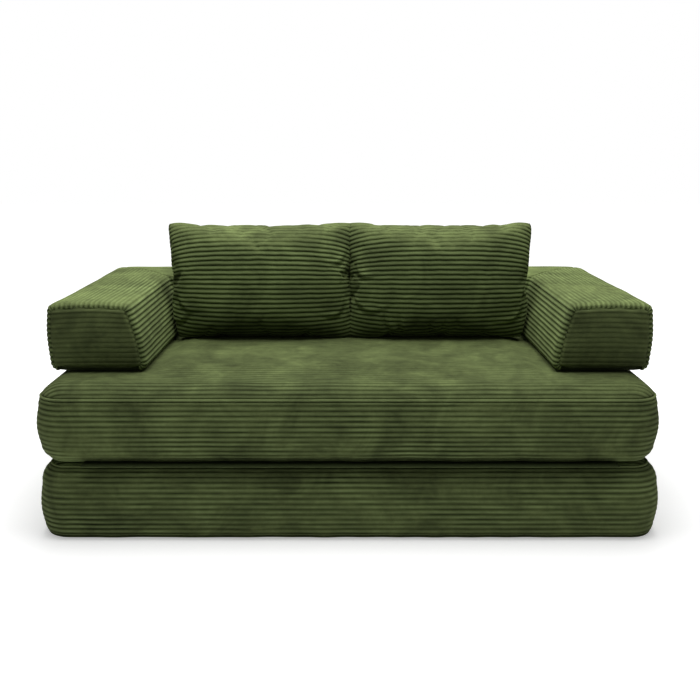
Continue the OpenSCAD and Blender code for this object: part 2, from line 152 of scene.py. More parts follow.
@dataclass(frozen=True)
class Corduroy:
    """Jumbo corduroy: cotton velvet cut in wide ribs. The pile is dull and glows at its edges. Its grooves are drawn
    dark, partly for the thinner pile there and partly as painted shade.
    """

    name: str = "jumbo_corduroy"
    # Groove colour: partly the thinner pile in a groove, partly painted shade
    groove: str = "#1a2210"
    flank: str = "#49562e"
    crown: str = "#7c8b5a"
    rubbed: str = "#5e693f"
    roughness: float = 0.92
    specular: float = 0.15
    sheen: float = 0.22
    sheen_roughness: float = 0.45
    sheen_colour: str = "#aebb80"
    patch: float = 160.0 * MM
    streaks: tuple[float, float, float] = (9.0, 1.3, 1.0)
    streak_share: float = 0.45
    tuft: float = 1.6 * MM
    tuft_height: float = 0.6 * MM
    scuff: float = 38.0 * MM
    scuff_depth: float = 1.1

    def material(self) -> bpy.types.Material:
        """Makes the material. It reads the cover's own UV map, metres along a rib and ribs across, its wear, and its
        nap attribute, which holds random tone and painted light and shade.

        Returns:
            The material.
        """
        material, tree = new_material(self.name)
        uv = add_node(tree, "UVMap", {"uv_map": "ribs"})
        place = add_node(tree, "TexCoord").outputs["Object"]
        wear, tone_and_painted_light = (add_node(tree, "Attribute", {"attribute_name": n}).outputs["Fac"] for n in ("wear", "nap"))
        split = add_node(tree, "SeparateXYZ", links={0: uv})
        share = add_node(tree, "Math", {"operation": "FRACT"}, {0: split.outputs["Y"]})
        swing = add_node(tree, "Math", {"operation": "PINGPONG", 1: 0.5}, {0: share})
        height = add_node(tree, "Math", {"operation": "MULTIPLY", 1: 2.0}, {0: swing})
        # Colour across each rib, from groove to crown: the dark groove end is partly painted shade
        stops = [(0.0, self.groove), (0.34, self.flank), (0.95, self.crown)]
        pile = add_node(tree, "ValToRGB", {"stops": stops}, {0: height})
        # Where the nap is drawn rubbed the ramp gives way to the rubbed colour: real wear, and on upward faces of
        # bolster and pillows partly painted light
        worn = add_node(tree, "Mix", {"data_type": "RGBA", "B": linear(self.rubbed)}, {"Factor": wear, "A": pile})

        # The nap lies this way and that, in patches as wide as a hand and in streaks along the ribs
        patches = add_node(
            tree, "TexNoise", {"Scale": 1 / self.patch, "Detail": 5.0, "Roughness": 0.6, "Distortion": 0.9},
            {"Vector": place},
        )
        stretch = add_node(tree, "VectorMath", {"operation": "MULTIPLY", 1: self.streaks}, {0: uv})
        streaks = add_node(tree, "TexNoise", {"Scale": 1.0, "Detail": 4.0, "Roughness": 0.6}, {"Vector": stretch})
        nap = add_node(tree, "Math", {"operation": "MULTIPLY_ADD", 1: self.streak_share}, {0: streaks, 2: patches})
        lay = add_node(
            tree, "MapRange", {"From Min": 0.50, "From Max": 0.95, "To Min": 0.58, "To Max": 1.42}, {"Value": nap}
        )
        # Tufts of the pile, drawn coarser than the real ones so that they show
        tufts = add_node(
            tree, "TexNoise", {"Scale": 1 / self.tuft, "Detail": 2.0, "Roughness": 0.7}, {"Vector": place}
        )
        fleck = add_node(
            tree, "MapRange", {"From Min": 0.3, "From Max": 0.7, "To Min": 0.86, "To Max": 1.14}, {"Value": tufts}
        )
        # Where it is worn, hands have brushed it in small scuffs
        scuffs = add_node(
            tree, "TexNoise", {"Scale": 1 / self.scuff, "Detail": 4.0, "Roughness": 0.65, "Distortion": 0.4},
            {"Vector": place},
        )
        uneven = add_node(tree, "Math", {"operation": "SUBTRACT", 1: 0.5}, {0: scuffs})
        rough = add_node(tree, "Math", {"operation": "MULTIPLY"}, {0: uneven, 1: wear})
        scuffed = add_node(tree, "Math", {"operation": "MULTIPLY_ADD", 1: self.scuff_depth, 2: 1.0}, {0: rough})
        # Colour factors: the nap's lay, the tufts, the scuffs, and the nap attribute with its random tone and painted
        # light and shade
        tone = lay
        for factor in (fleck, scuffed, tone_and_painted_light):
            tone = add_node(tree, "Math", {"operation": "MULTIPLY"}, {0: tone, 1: factor})
        shade = add_node(tree, "VectorMath", {"operation": "SCALE"}, {0: worn.outputs["Result"], "Scale": tone})
        bump = add_node(tree, "Bump", {"Strength": 0.35, "Distance": self.tuft_height}, {"Height": tufts})
        shader = add_node(
            tree, "BsdfPrincipled",
            {
                "Roughness": self.roughness, "Sheen Weight": self.sheen, "Sheen Roughness": self.sheen_roughness,
                "Sheen Tint": linear(self.sheen_colour), "Specular IOR Level": self.specular,
            },
            {"Base Color": shade, "Normal": bump},
        )
        add_node(tree, "OutputMaterial", links={"Surface": shader})
        return material


@dataclass(frozen=True)
class Woven:
    """Woven tape or plain cloth: dull threads that cross, drawn a little lighter where they stand up and darker
    between them, painted light and shade over the weave.
    """

    name: str
    dark: str
    light: str
    thread: float
    roughness: float = 0.85
    thread_height: float = 0.3 * MM

    def material(self) -> bpy.types.Material:
        """Makes the material from two crossing waves on Object coordinates, along X and along the sum of Y and Z.

        Returns:
            The material.
        """
        material, tree = new_material(self.name)
        place = add_node(tree, "TexCoord").outputs["Object"]
        threads = []
        for way in ((1.0, 0.0, 0.0), (0.0, 1.0, 1.0)):
            turns = tuple(math.pi / self.thread * c for c in way)
            phase = add_node(tree, "VectorMath", {"operation": "DOT_PRODUCT", 1: turns}, {0: place})
            wave = add_node(tree, "Math", {"operation": "SINE"}, {0: phase.outputs["Value"]})
            threads.append(add_node(tree, "Math", {"operation": "ABSOLUTE"}, {0: wave}))
        weave = add_node(tree, "Math", {"operation": "MULTIPLY"}, dict(enumerate(threads)))
        # Painted shade between the threads and painted light where they stand up
        colour = add_node(tree, "ValToRGB", {"stops": [(0.0, self.dark), (0.9, self.light)]}, {0: weave})
        bump = add_node(tree, "Bump", {"Strength": 0.4, "Distance": self.thread_height}, {"Height": weave})
        shader = add_node(
            tree, "BsdfPrincipled", {"Roughness": self.roughness, "Specular IOR Level": 0.2},
            {"Base Color": colour, "Normal": bump},
        )
        add_node(tree, "OutputMaterial", links={"Surface": shader})
        return material


@dataclass(frozen=True)
class Solid:
    """Painted cast zinc: smooth and half glossy, with a fine unevenness in its tone and gloss."""

    name: str
    colour: str
    roughness: float
    metallic: float
    grain: float = 3.0 * MM
    tone_spread: float = 0.15
    gloss_spread: float = 0.06

    def material(self) -> bpy.types.Material:
        """Makes the material from one noise that varies its tone and its gloss.

        Returns:
            The material.
        """
        material, tree = new_material(self.name)
        place = add_node(tree, "TexCoord").outputs["Object"]
        noise = add_node(tree, "TexNoise", {"Scale": 1 / self.grain, "Detail": 3.0}, {"Vector": place})
        tone, gloss = (
            add_node(tree, "MapRange", {"To Min": middle - spread, "To Max": middle + spread}, {"Value": noise})
            for middle, spread in ((1.0, self.tone_spread), (self.roughness, self.gloss_spread))
        )
        colour = add_node(tree, "VectorMath", {"operation": "SCALE", 0: linear(self.colour)[:3]}, {"Scale": tone})
        shader = add_node(
            tree, "BsdfPrincipled", {"Metallic": self.metallic}, {"Base Color": colour, "Roughness": gloss}
        )
        add_node(tree, "OutputMaterial", links={"Surface": shader})
        return material


@dataclass(frozen=True)
class Wander:
    """A smooth uneven field: sine waves of about one length in random directions, added up."""

    seed: int
    length: float
    size: float

    def at(self, points: np.ndarray) -> np.ndarray:
        """Value of the field at each point.

        Args:
            points: places, with X, Y and Z along the last axis.

        Returns:
            One value for each place, mostly within the field's size.
        """
        rng = np.random.default_rng(self.seed)
        ways = rng.normal(size=(WAVES, 3))
        ways *= (2 * np.pi / self.length / np.linalg.norm(ways, axis=1) * rng.uniform(*WAVE_SPREAD, WAVES))[:, None]
        starts = rng.uniform(0, 2 * np.pi, WAVES)
        return self.size * np.sin(points @ ways.T + starts).sum(-1) * math.sqrt(2 / WAVES) / 2


def stacked(*coordinates: np.ndarray | float) -> np.ndarray:
    """Puts coordinates together along a last axis, each stretched to one grid."""
    return np.stack(np.broadcast_arrays(*coordinates), -1)


def smooth(low: float, high: float, value: np.ndarray) -> np.ndarray:
    """Goes from 0 where the value is low to 1 where it is high, along a cubic that starts and ends level."""
    t = np.clip((value - low) / (high - low), 0, 1)
    return t * t * (3 - 2 * t)


def rib_rows(length: float, pitch: float) -> tuple[np.ndarray, np.ndarray]:
    """Rows across a stretch of corduroy that holds a whole number of ribs.

    Args:
        length: the stretch's length across the ribs.
        pitch: about how wide a rib is.

    Returns:
        How far along the stretch each row lies, and at which rib, with whole numbers in the grooves.
    """
    count = max(1, round(length / pitch))
    ribs = np.append((np.arange(count)[:, None] + ROW_SHARES).ravel(), count)
    return ribs * length / count, ribs


def rib_relief(ribs: np.ndarray) -> np.ndarray:
    """Share of a groove's depth: 0 on a rib's round crown, -1 in the groove, along a half circle between."""
    t = 2 * (ribs - np.floor(ribs)) - 1
    return np.sqrt(np.clip(1 - t * t, 0, 1)) - 1


def seam_dip(distance: np.ndarray, width: float) -> np.ndarray:
    """Share of a seam's depth at a distance from it: a bell curve, -1 at the seam and 0 a few widths away."""
    return -np.exp(-(distance / width) ** 2)


def path_lengths(points: np.ndarray, axis: int = 0) -> np.ndarray:
    """Distance along a line of points, or along each line of a grid, from the first point to every other."""
    steps = np.linalg.norm(np.diff(points, axis=axis), axis=-1)
    return np.insert(np.cumsum(steps, axis), 0, 0.0, axis)


def close_at_ends(count: int) -> np.ndarray:
    """Values from -1 to 1 that lie closer together towards both ends: the sines of even steps of a half turn."""
    return np.sin(np.linspace(-np.pi / 2, np.pi / 2, count))


def kept_clear(gap: np.ndarray, soft: float) -> np.ndarray:
    """Gap to a surface that cloth is pressed on: below its softness it falls off exponentially and never closes."""
    return np.where(gap > soft, gap, soft * np.exp(np.minimum(gap / soft, 1) - 1))


def along_path(points: np.ndarray, distance: np.ndarray) -> np.ndarray:
    """Places on a line of points.

    Args:
        points: the line's points.
        distance: how far along the line each place is.

    Returns:
        The places, one for each distance.
    """
    lengths = path_lengths(points)
    return np.stack([np.interp(distance, lengths, points[:, k]) for k in range(points.shape[1])], -1)


def closed_steps(points: np.ndarray, axis: int) -> np.ndarray:
    """Steps along a closed line, from the place before each place to the one after it."""
    return np.roll(points, -1, axis) - np.roll(points, 1, axis)


def unit(vectors: np.ndarray) -> np.ndarray:
    """Directions of vectors, at a length of one."""
    return vectors / np.maximum(np.linalg.norm(vectors, axis=-1, keepdims=True), 1e-12)


def grid_normals(points: np.ndarray, closed: bool = False) -> np.ndarray:
    """Outward unit normals of a grid: the cross product of its steps along a row and from row to row.

    Args:
        points: rows by columns of places.
        closed: whether the last column joins the first.

    Returns:
        One normal for each place.
    """
    wide = closed_steps(points, 1) if closed else np.gradient(points, axis=1)
    return unit(np.cross(wide, np.gradient(points, axis=0)))


def rim_of(indices: np.ndarray) -> np.ndarray:
    """Vertices round the edge of an open grid, counter-clockwise seen from its outside."""
    return np.concatenate([indices[0, :-1], indices[:-1, -1], indices[-1, :0:-1], indices[:0:-1, 0]])


class Cover:
    """One sewn cover, made as one closed mesh out of panels, bands and the seams that join their rims."""

    def __init__(self, name: str) -> None:
        """Starts an empty cover.

        Args:
            name: the piece's name.
        """
        self.name = name
        self.points: list[np.ndarray] = []
        self.wear: list[np.ndarray] = []
        self.nap: list[np.ndarray] = []
        self.uv: list[np.ndarray] = []
        self.faces: list[np.ndarray] = []
        self.corners: list[np.ndarray] = []
        self.count = 0

    def panel(
        self, points: np.ndarray, along: np.ndarray, ribs: np.ndarray, wear: np.ndarray | float = 0.0,
        closed: bool = False, rolled: bool = False, nap: np.ndarray | float = 1.0,
    ) -> np.ndarray:
        """Adds a grid of cloth.

        Args:
            points: rows by columns of places.
            along: how far along its rib each place is, in metres, with one more column if the grid is closed.
            ribs: at which rib each place is, with one more column if the grid is closed.
            wear: how far the nap is drawn rubbed flat at each place, from 0 to 1; on faces that look up on the
                bolster and pillows it is partly painted light.
            closed: whether the last column joins the first.
            rolled: whether the last row joins the first, with one more row of along and ribs too.
            nap: a factor on the pile's colour at each place, about 1, which holds random tone and painted light and
                shade.

        Returns:
            The vertices' numbers, rows by columns.
        """
        rows, columns = points.shape[:2]
        indices = np.arange(rows * columns).reshape(rows, columns) + self.count
        wide = np.concatenate([indices, indices[:, :1]], 1) if closed else indices
        wide = np.concatenate([wide, wide[:1]]) if rolled else wide
        coordinates = stacked(along, ribs).reshape(wide.shape + (2,))
        first, last = slice(None, -1), slice(1, None)
        corners = [(first, first), (first, last), (last, last), (last, first)]
        self.faces.append(np.stack([wide[c] for c in corners], -1).reshape(-1, 4))
        self.corners.append(np.stack([coordinates[c] for c in corners], -2).reshape(-1, 4, 2))
        self.points.append(points.reshape(-1, 3))
        self.uv.append(coordinates[:rows, :columns].reshape(-1, 2))
        self.wear.append(np.broadcast_to(wear, (rows, columns)).reshape(-1))
        self.nap.append(np.broadcast_to(nap, (rows, columns)).reshape(-1))
        self.count += rows * columns
        return indices

    def seam(self, low: np.ndarray, high: np.ndarray) -> None:
        """Closes the gap between two rims with triangles, each edge of one going to the nearest vertex of the other.

        Args:
            low: vertices round the rim that lies below or inside, counter-clockwise seen from outside.
            high: vertices round the other rim, the same way round.
        """
        points = np.concatenate(self.points)
        high = np.roll(high, -int(np.argmin(np.linalg.norm(points[high] - points[low[0]], axis=-1))))
        ends = []
        for rim in (low, high):
            lengths = path_lengths(points[np.append(rim, rim[0])])
            ends.append(lengths[1:] / lengths[-1])
        partner_of_low = high[np.searchsorted(ends[1], ends[0], side="left") % len(high)]
        partner_of_high = low[np.searchsorted(ends[0], ends[1], side="right") % len(low)]
        triangles = np.concatenate([
            np.stack([low, np.roll(low, -1), partner_of_low], -1),
            np.stack([partner_of_high, np.roll(high, -1), high], -1),
        ])
        self.faces.append(triangles)
        self.corners.append(np.concatenate(self.uv)[triangles])

    def piping(self, path: np.ndarray, out: np.ndarray, radius: float, wear: float, nap: float = 1.0) -> None:
        """Lays a round piping cord on a seam: a circle carried along the closed path, with the pile's crown colour
        outside and the groove colour, partly painted shade, on the side turned into the seam.

        Args:
            path: places along the seam, counter-clockwise seen from outside.
            out: outward directions there.
            radius: the cord's radius.
            wear: how far its nap is rubbed.
            nap: a factor on its colour, which holds painted shade.
        """
        tangent = unit(closed_steps(path, 0))
        side = unit(np.cross(out, tangent))
        up = np.cross(tangent, side)
        turn = np.linspace(0, 2 * np.pi, CORD_SIDES + 1)[:, None]
        circle = np.cos(turn[:-1, None]) * up + np.sin(turn[:-1, None]) * side
        along = path_lengths(np.append(path, path[:1], 0))
        self.panel(path + radius * circle, along, 0.5 + turn / (2 * np.pi), wear, True, True, nap)

    def round_end(self, rim: np.ndarray) -> None:
        """Closes a small round end with a fan of triangles to a point in its middle.

        Args:
            rim: vertices round the end, counter-clockwise seen from outside.
        """
        middle = np.concatenate(self.points)[rim].mean(0)
        centre = self.panel(middle[None, None], np.zeros((1, 1)), np.zeros((1, 1)))
        triangles = np.stack([rim, np.roll(rim, -1), np.full_like(rim, centre[0, 0])], -1)
        self.faces.append(triangles)
        self.corners.append(np.zeros(triangles.shape + (2,)))

    def sheet(self, points: np.ndarray, thickness: float) -> None:
        """Adds a thin sheet, closed round its edges: the grid moved out to both sides along its normals.

        Args:
            points: rows by columns of places in the middle of the sheet's thickness.
            thickness: how thick the sheet is.
        """
        step = grid_normals(points) * thickness / 2
        flat = np.zeros(points.shape[:2])
        upper = self.panel(points + step, flat, flat)
        lower = self.panel((points - step)[:, ::-1], flat, flat)
        self.seam(rim_of(lower)[::-1], rim_of(upper))

    def build(self, material: bpy.types.Material) -> bpy.types.Object:
        """Makes the object.

        Args:
            material: its finish.

        Returns:
            The object, at the origin, smoothly shaded.
        """
        mesh = bpy.data.meshes.new(self.name)
        points = np.concatenate(self.points)
        sizes = np.concatenate([np.full(len(f), f.shape[1]) for f in self.faces])
        mesh.vertices.add(len(points))
        mesh.vertices.foreach_set("co", points.astype(np.float32).ravel())
        mesh.loops.add(int(sizes.sum()))
        mesh.loops.foreach_set("vertex_index", np.concatenate([f.ravel() for f in self.faces]).astype(np.int32))
        mesh.polygons.add(len(sizes))
        mesh.polygons.foreach_set("loop_start", (np.cumsum(sizes) - sizes).astype(np.int32))
        mesh.polygons.foreach_set("use_smooth", np.ones(len(sizes), bool))
        corners = np.concatenate([c.reshape(-1, 2) for c in self.corners])
        mesh.update(calc_edges=True)
        mesh.uv_layers.new(name="ribs").data.foreach_set("uv", corners.astype(np.float32).ravel())
        for name, values in (("wear", self.wear), ("nap", self.nap)):
            attribute = mesh.attributes.new(name, "FLOAT", "POINT")
            attribute.data.foreach_set("value", np.concatenate(values).astype(np.float32))
        mesh.materials.append(material)
        piece = bpy.data.objects.new(self.name, mesh)
        bpy.context.scene.collection.objects.link(piece)
        return piece


@dataclass
class Zip:
    """A coil zip in a shallow window of a cover: woven tape with the closed coil along its middle."""

    node: str
    body: str
    facing: tuple[float, float, float]
    tape_t: float = 0.8 * MM
    coil_w: float = 6.0 * MM
    coil_t: float = 2.2 * MM
    tooth: float = 3.0 * MM
    coil_narrowing: float = 0.2
    margin: float = 2.0 * MM
    side_fade: float = 3.0 * MM
    end_fade: float = 8.0 * MM
    sink: float = 0.4 * MM
    tape_step: float = 12.0 * MM
    tape_share: float = 0.8
    ripple: float = 0.25 * MM
    ripple_length: float = 31.0 * MM
    tape_columns: int = 9
    coil_sides: int = 8
    tooth_stations: int = 3

    def __post_init__(self) -> None:
        """Reads the zip's place from its node in the frame."""
        low, high = map(np.array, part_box(self.node))
        self.up = np.array(self.facing)
        self.middle, self.half = (low + high) / 2, (high - low) / 2
        self.base = float(self.middle @ self.up - self.half @ np.abs(self.up))
        self.across = np.cross(self.up, [1.0, 0.0, 0.0])
        self.half_w = float(self.half @ np.abs(self.across))

    def carve(self, points: np.ndarray) -> np.ndarray:
        """Sinks a cover's surface to just under the tape, in a window a little larger than the zip.

        Args:
            points: the cover's places.

        Returns:
            The places, none of them in the zip.
        """
        rel = points - self.middle
        over = np.maximum(points @ self.up - self.base + self.sink, 0)
        side = np.abs(rel @ self.across) - self.half_w - self.margin
        end = np.abs(rel[..., 0]) - self.half[0] - self.margin
        mask = (1 - smooth(0, self.side_fade, side)) * (1 - smooth(0, self.end_fade, end))
        return points - self.up * (over * mask)[..., None]

    def at(self, x: np.ndarray, across: np.ndarray, up: np.ndarray) -> np.ndarray:
        """Places along the zip, across it and up from the back of its tape."""
        start = self.middle + self.up * (self.base - self.middle @ self.up)
        return start + stacked(x, across, up) @ np.array([[1.0, 0.0, 0.0], self.across, self.up])

    def build(self, material: bpy.types.Material) -> bpy.types.Object:
        """Makes the tape, and the coil as an oval carried along it that narrows between its teeth.

        Args:
            material: the tape's finish.

        Returns:
            The piece.
        """
        cover = Cover(self.node + "_tape_and_coil")
        half = self.half[0]
        x = np.linspace(-half, half, round(half / self.tape_step))
        share = np.linspace(-1, 1, self.tape_columns)[:, None]
        rise = self.tape_t / 2 + self.ripple * np.cos(share * np.pi) * np.cos(x / self.ripple_length)
        cover.sheet(self.at(x, share * self.half_w, rise), self.tape_t * self.tape_share)
        count = self.tooth_stations * round(2 * half / self.tooth) + 1
        along = np.linspace(-half, half, count)[:, None]
        wave = np.abs(np.sin(np.pi * np.arange(count) / self.tooth_stations))[:, None]
        swell = 1 - self.coil_narrowing * (1 - wave)
        turn = np.linspace(0, 2 * np.pi, self.coil_sides + 1)[:-1]
        up = self.tape_t + self.coil_t / 2 * (1 + swell * np.sin(turn))
        grid = self.at(along, self.coil_w / 2 * swell * np.cos(turn), up)
        flat = np.zeros((len(grid), len(turn) + 1))
        coil = cover.panel(grid, flat, flat, closed=True)
        cover.round_end(coil[0][::-1])
        cover.round_end(coil[-1])
        piece = cover.build(material)
        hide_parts(self.node)
        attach(piece, self.body)
        return piece


@dataclass
class HingeCloth:
    """The fabric hinge: a strip sewn to the seat's underside and to the fold-out's top, folded once at the axis."""

    name: str = "hinge_cloth"
    thickness: float = 0.8 * MM
    gap: float = 1.5 * MM
    sink: float = 0.5 * MM
    margin: float = 30.0 * MM
    rows: int = 60
    columns: int = 90
    fold_steps: int = 9

    def __post_init__(self) -> None:
        """Reads the strip's place from its two leaves in the frame."""
        self.low, self.high = map(np.array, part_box("hinge_fabric_lower"))
        self.middle = (self.low[2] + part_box("hinge_fabric_upper")[1].z) / 2

    def room(self, points: np.ndarray, side: int) -> np.ndarray:
        """Flattens a cover where the strip lies on it.

        Args:
            points: the cover's places.
            side: 1 for the cover above the strip and -1 for the one below.

        Returns:
            The places, none of them in the strip.
        """
        level = self.middle + side * (self.gap / 2 + self.thickness / 2 + self.sink)
        beyond = np.maximum(side * (level - points[..., 2]), 0)
        past = np.abs(points - (self.low + self.high) / 2) - (self.high - self.low) / 2
        mask = (1 - smooth(0, self.margin, past[..., :2])).prod(-1)
        return points + stacked(0, 0, side * beyond * mask)

    def build(self, material: bpy.types.Material) -> bpy.types.Object:
        """Makes the strip: forward along the upper leaf, round a half circle and back along the lower leaf.

        Args:
            material: the canvas.

        Returns:
            The piece.
        """
        low, high, middle = self.low, self.high, self.middle
        radius = self.gap / 2
        fold = low[1] + radius + self.thickness / 2
        back = np.linspace(high[1], fold, self.rows)
        turn = np.linspace(np.pi / 2, 1.5 * np.pi, self.fold_steps)[1:-1]
        y = np.concatenate([back, fold + radius * np.cos(turn), back[::-1]])
        z = np.concatenate([np.full(self.rows, radius), radius * np.sin(turn), np.full(self.rows, -radius)])
        x = np.linspace(high[0], low[0], self.columns)
        cover = Cover(self.name)
        cover.sheet(stacked(x, y[:, None], z[:, None] + middle), self.thickness)
        piece = cover.build(material)
        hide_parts("hinge_fabric_upper", "hinge_fabric_lower")
        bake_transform(piece)
        return piece


@dataclass(frozen=True)
class Cloth:
    """How the corduroy is made up: the ribs' size, the seams and how unevenly the wadding lies under it."""

    pitch: float = 15.1 * MM
    depth: float = 3.4 * MM
    seam_depth: float = 5.0 * MM
    seam_width: float = 4.5 * MM
    seam_gap: float = 1.5 * MM
    piping_r: float = 3.6 * MM
    piping_sink: float = 1.8 * MM
    puff: Wander = Wander(11, 340.0 * MM, 2.6 * MM)
    crease: Wander = Wander(12, 120.0 * MM, 0.9 * MM)
    drift: Wander = Wander(13, 300.0 * MM, 1.6 * MM)

    def relief(
        self, points: np.ndarray, ribs: np.ndarray, wear: np.ndarray | float, flattening: float, seam: np.ndarray
    ) -> np.ndarray:
        """Height of the cloth over its smooth form: the ribs, the dip at the seams and the creases between.

        Args:
            points: the smooth places.
            ribs: at which rib each is.
            wear: how far the nap is rubbed at each.
            flattening: share of a rib's depth that full wear takes away.
            seam: each one's distance from the nearest seam.

        Returns:
            The height at each place.
        """
        height = self.depth * rib_relief(ribs) * (1 - flattening * np.asarray(wear))
        height = height + self.seam_depth * seam_dip(seam, self.seam_width)
        return height + self.crease.at(points) - self.crease.size


@dataclass
class Mattress:
    """A foam mattress in its cover: a top and a bottom panel with ribs along X, and boxing with ribs round it."""

    name: str
    body: str
    cover: str
    foam: str
    cloth: Cloth
    zip: Zip
    hinge: HingeCloth
    hinge_side: int
    spread: float
    shift: float
    blotch: float
    crown: float = 0.0
    top_seam: float = math.radians(55.0)
    foot_seam: float = math.radians(50.0)
    corner_r: float = 95.0 * MM
    top_r: float = 72.0 * MM
    foot_r: float = 46.0 * MM
    bulge: float = 8.0 * MM
    crown_reach: float = 235.0 * MM
    # Painted shade at the foot of the boxing, a factor on its colour
    foot_painted_shade: float = 1.0
    # Painted shade over the whole boxing, a factor on its colour
    side_painted_shade: float = 1.0
    # Painted shade over the whole top panel, a factor on its colour
    lid_painted_shade: float = 1.0
    # Usual and greatest wear
    side_rub: tuple[float, float] = (0.50, 0.95)
    lid_rub: tuple[float, float] = (0.30, 0.85)
    rubs: Wander = Wander(23, 420.0 * MM, 0.24)
    scuffs: Wander = Wander(24, 90.0 * MM, 0.16)
    side_stretch: float = 4.0
    flattening: float = 0.6
    cord_wear: float = 0.35
    # Painted shade that draws the top piping cords a little darker
    cord_painted_shade: float = 0.95
    # Heights above the bottom between which the painted shade at the foot fades out
    foot_shade_rise: tuple[float, float] = (2.0 * MM, 30.0 * MM)
    drift_fade: float = 60.0 * MM
    rim_band: float = 20.0 * MM
    rim_steps: int = 81
    middle_steps: int = 60
    boxing_steps: int = 40
    corner_steps: int = 14
    fill_columns: int = 62
    side_step: float = 17.0 * MM

    def __post_init__(self) -> None:
        """Reads the mattress's size and place from its cover in the frame."""
        low, high = map(np.array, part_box(self.cover))
        self.half = (high - low)[:2] / 2 + np.array([self.spread, 0.0])
        self.middle = (low + high)[:2] / 2 + np.array([self.shift, 0.0])
        self.bottom = low[2]
        self.height = high[2] - low[2] - self.crown
        self.edges = {True: (self.top_r, self.top_seam), False: (self.foot_r, self.foot_seam)}

    def level(self, up: bool, depth: float) -> float:
        """Z at a depth below the top face, or above the bottom one."""
        return self.bottom + (self.height - depth if up else depth)

    def outline(self) -> tuple[np.ndarray, np.ndarray]:
        """Works out the outline in plan, from straight sides and quarter circles.

        Returns:
            For each place the corner's centre, or the place a corner's radius in from the side, and the direction
            outwards from there.
        """
        straight = self.half - self.corner_r
        arc = np.linspace(0, np.pi / 2, self.corner_steps)[1:-1]
        centres, ways = [], []
        for k in range(4):
            turn_from = math.radians(90 * k - 90)
            way = np.array([math.cos(turn_from), math.sin(turn_from)])
            tangent = np.array([-way[1], way[0]])
            reach, side_half = straight[(k + 1) % 2], straight[k % 2]
            steps = np.linspace(-1, 1, round(2 * side_half / self.side_step))[:, None]
            corner = way * reach + tangent * side_half
            centres += [way * reach + tangent * side_half * steps, np.tile(corner, (len(arc), 1))]
            ways += [np.tile(way, (len(steps), 1)), stacked(np.cos(turn_from + arc), np.sin(turn_from + arc))]
        return np.concatenate(centres), np.concatenate(ways)

    def seam_path(self, up: bool) -> tuple[np.ndarray, np.ndarray]:
        """Works out where the cord on a seam runs, sunk a little into the cover.

        Args:
            up: whether this is the top seam.

        Returns:
            The places along it and the outward directions there.
        """
        radius, angle = self.edges[up]
        inset, depth = self.rounding(radius, angle)
        centre, way = self.outline()
        out = stacked(*(way * math.cos(angle)).T, math.sin(angle if up else -angle))
        path = stacked(*(centre + (self.corner_r - inset) * way + self.middle).T, self.level(up, depth))
        path = path - out * self.cloth.piping_sink
        return path + out * self.cloth.crease.at(path)[:, None], out

    def rounding(self, radius: float, angle: np.ndarray | float) -> tuple[np.ndarray, np.ndarray]:
        """Inset from the outline, and depth below the face, of an edge's rounding at an angle from the boxing."""
        return self.bulge + radius * (1 - np.cos(angle)), radius * (1 - np.sin(angle))

    def distance_in(self, x: np.ndarray, y: np.ndarray) -> np.ndarray:
        """Distance of places in plan from the outline, a rectangle with round corners.

        Args:
            x: how far right of the middle each is.
            y: how far behind the middle each is.

        Returns:
            How far inside the outline each is.
        """
        qx = np.abs(x) - (self.half[0] - self.corner_r)
        qy = np.abs(y) - (self.half[1] - self.corner_r)
        outside = np.hypot(np.maximum(qx, 0), np.maximum(qy, 0)) + np.minimum(np.maximum(qx, qy), 0)
        return self.corner_r - outside

    def lid_drop(self, radius: float, inset: np.ndarray) -> np.ndarray:
        """Depth below the face at a distance in from the outline: a quarter circle along the edge."""
        t = np.clip(1 - (inset - self.bulge) / radius, 0, 1)
        return radius * (1 - np.sqrt(1 - t * t))

    def rise(self, x: np.ndarray, y: np.ndarray, inset: np.ndarray) -> np.ndarray:
        """Height of the crown above the face: a half cosine from the edge to its full reach."""
        t = np.clip((inset - self.bulge - self.top_r) / (self.crown_reach - self.bulge - self.top_r), 0, 1)
        return self.crown * (1 - np.cos(np.pi * t)) / 2

    def lid(self, up: bool) -> tuple[np.ndarray, np.ndarray, np.ndarray]:
        """Works out the top or the bottom panel, flat across its middle and rounded down to its seam.

        Args:
            up: whether this is the top.

        Returns:
            The panel's places without relief, how far along its rib each is, and at which rib.
        """
        radius, angle = self.edges[up]
        seam_inset, _ = self.rounding(radius, angle + self.cloth.seam_gap / radius / 2)
        insets = np.append(
            np.linspace(self.half[1], seam_inset + self.rim_band, self.middle_steps),
            np.linspace(self.rim_band, 0, self.rim_steps)[1:] + seam_inset,
        )
        profile = stacked(self.half[1] - insets, -self.lid_drop(radius, insets))
        reach = path_lengths(profile)[-1]
        rows, ribs = rib_rows(2 * reach, self.cloth.pitch)
        rows -= reach
        seam_r = self.corner_r - seam_inset
        straight = self.half - self.corner_r
        y = np.sign(rows) * along_path(profile, np.abs(rows))[:, 0]
        past = np.clip(np.abs(y) - straight[1], 0, seam_r)
        ends = straight[0] + np.sqrt(seam_r**2 - past**2)
        inner = ends - SEAM_STEPS[-1]
        shares = np.linspace(-1, 1, self.fill_columns)
        x = np.concatenate([
            -ends[:, None] + SEAM_STEPS[:-1], inner[:, None] * shares, ends[:, None] - SEAM_STEPS[-2::-1]
        ], 1)
        taper = smooth(0, self.drift_fade, reach - np.abs(rows))[:, None]
        taper = taper * smooth(0, self.drift_fade, ends[:, None] - np.abs(x))
        y = y[:, None] + self.cloth.drift.at(stacked(x, y[:, None], 0) + self.bottom) * taper
        inset = self.distance_in(x, y)
        z = -self.lid_drop(radius, inset) + (self.rise(x, y + self.middle[1], inset) if up else 0.0)
        side = 1 if up else -1
        points = stacked(x + self.middle[0], self.middle[1] + side * y, self.level(up, 0.0) + side * z)
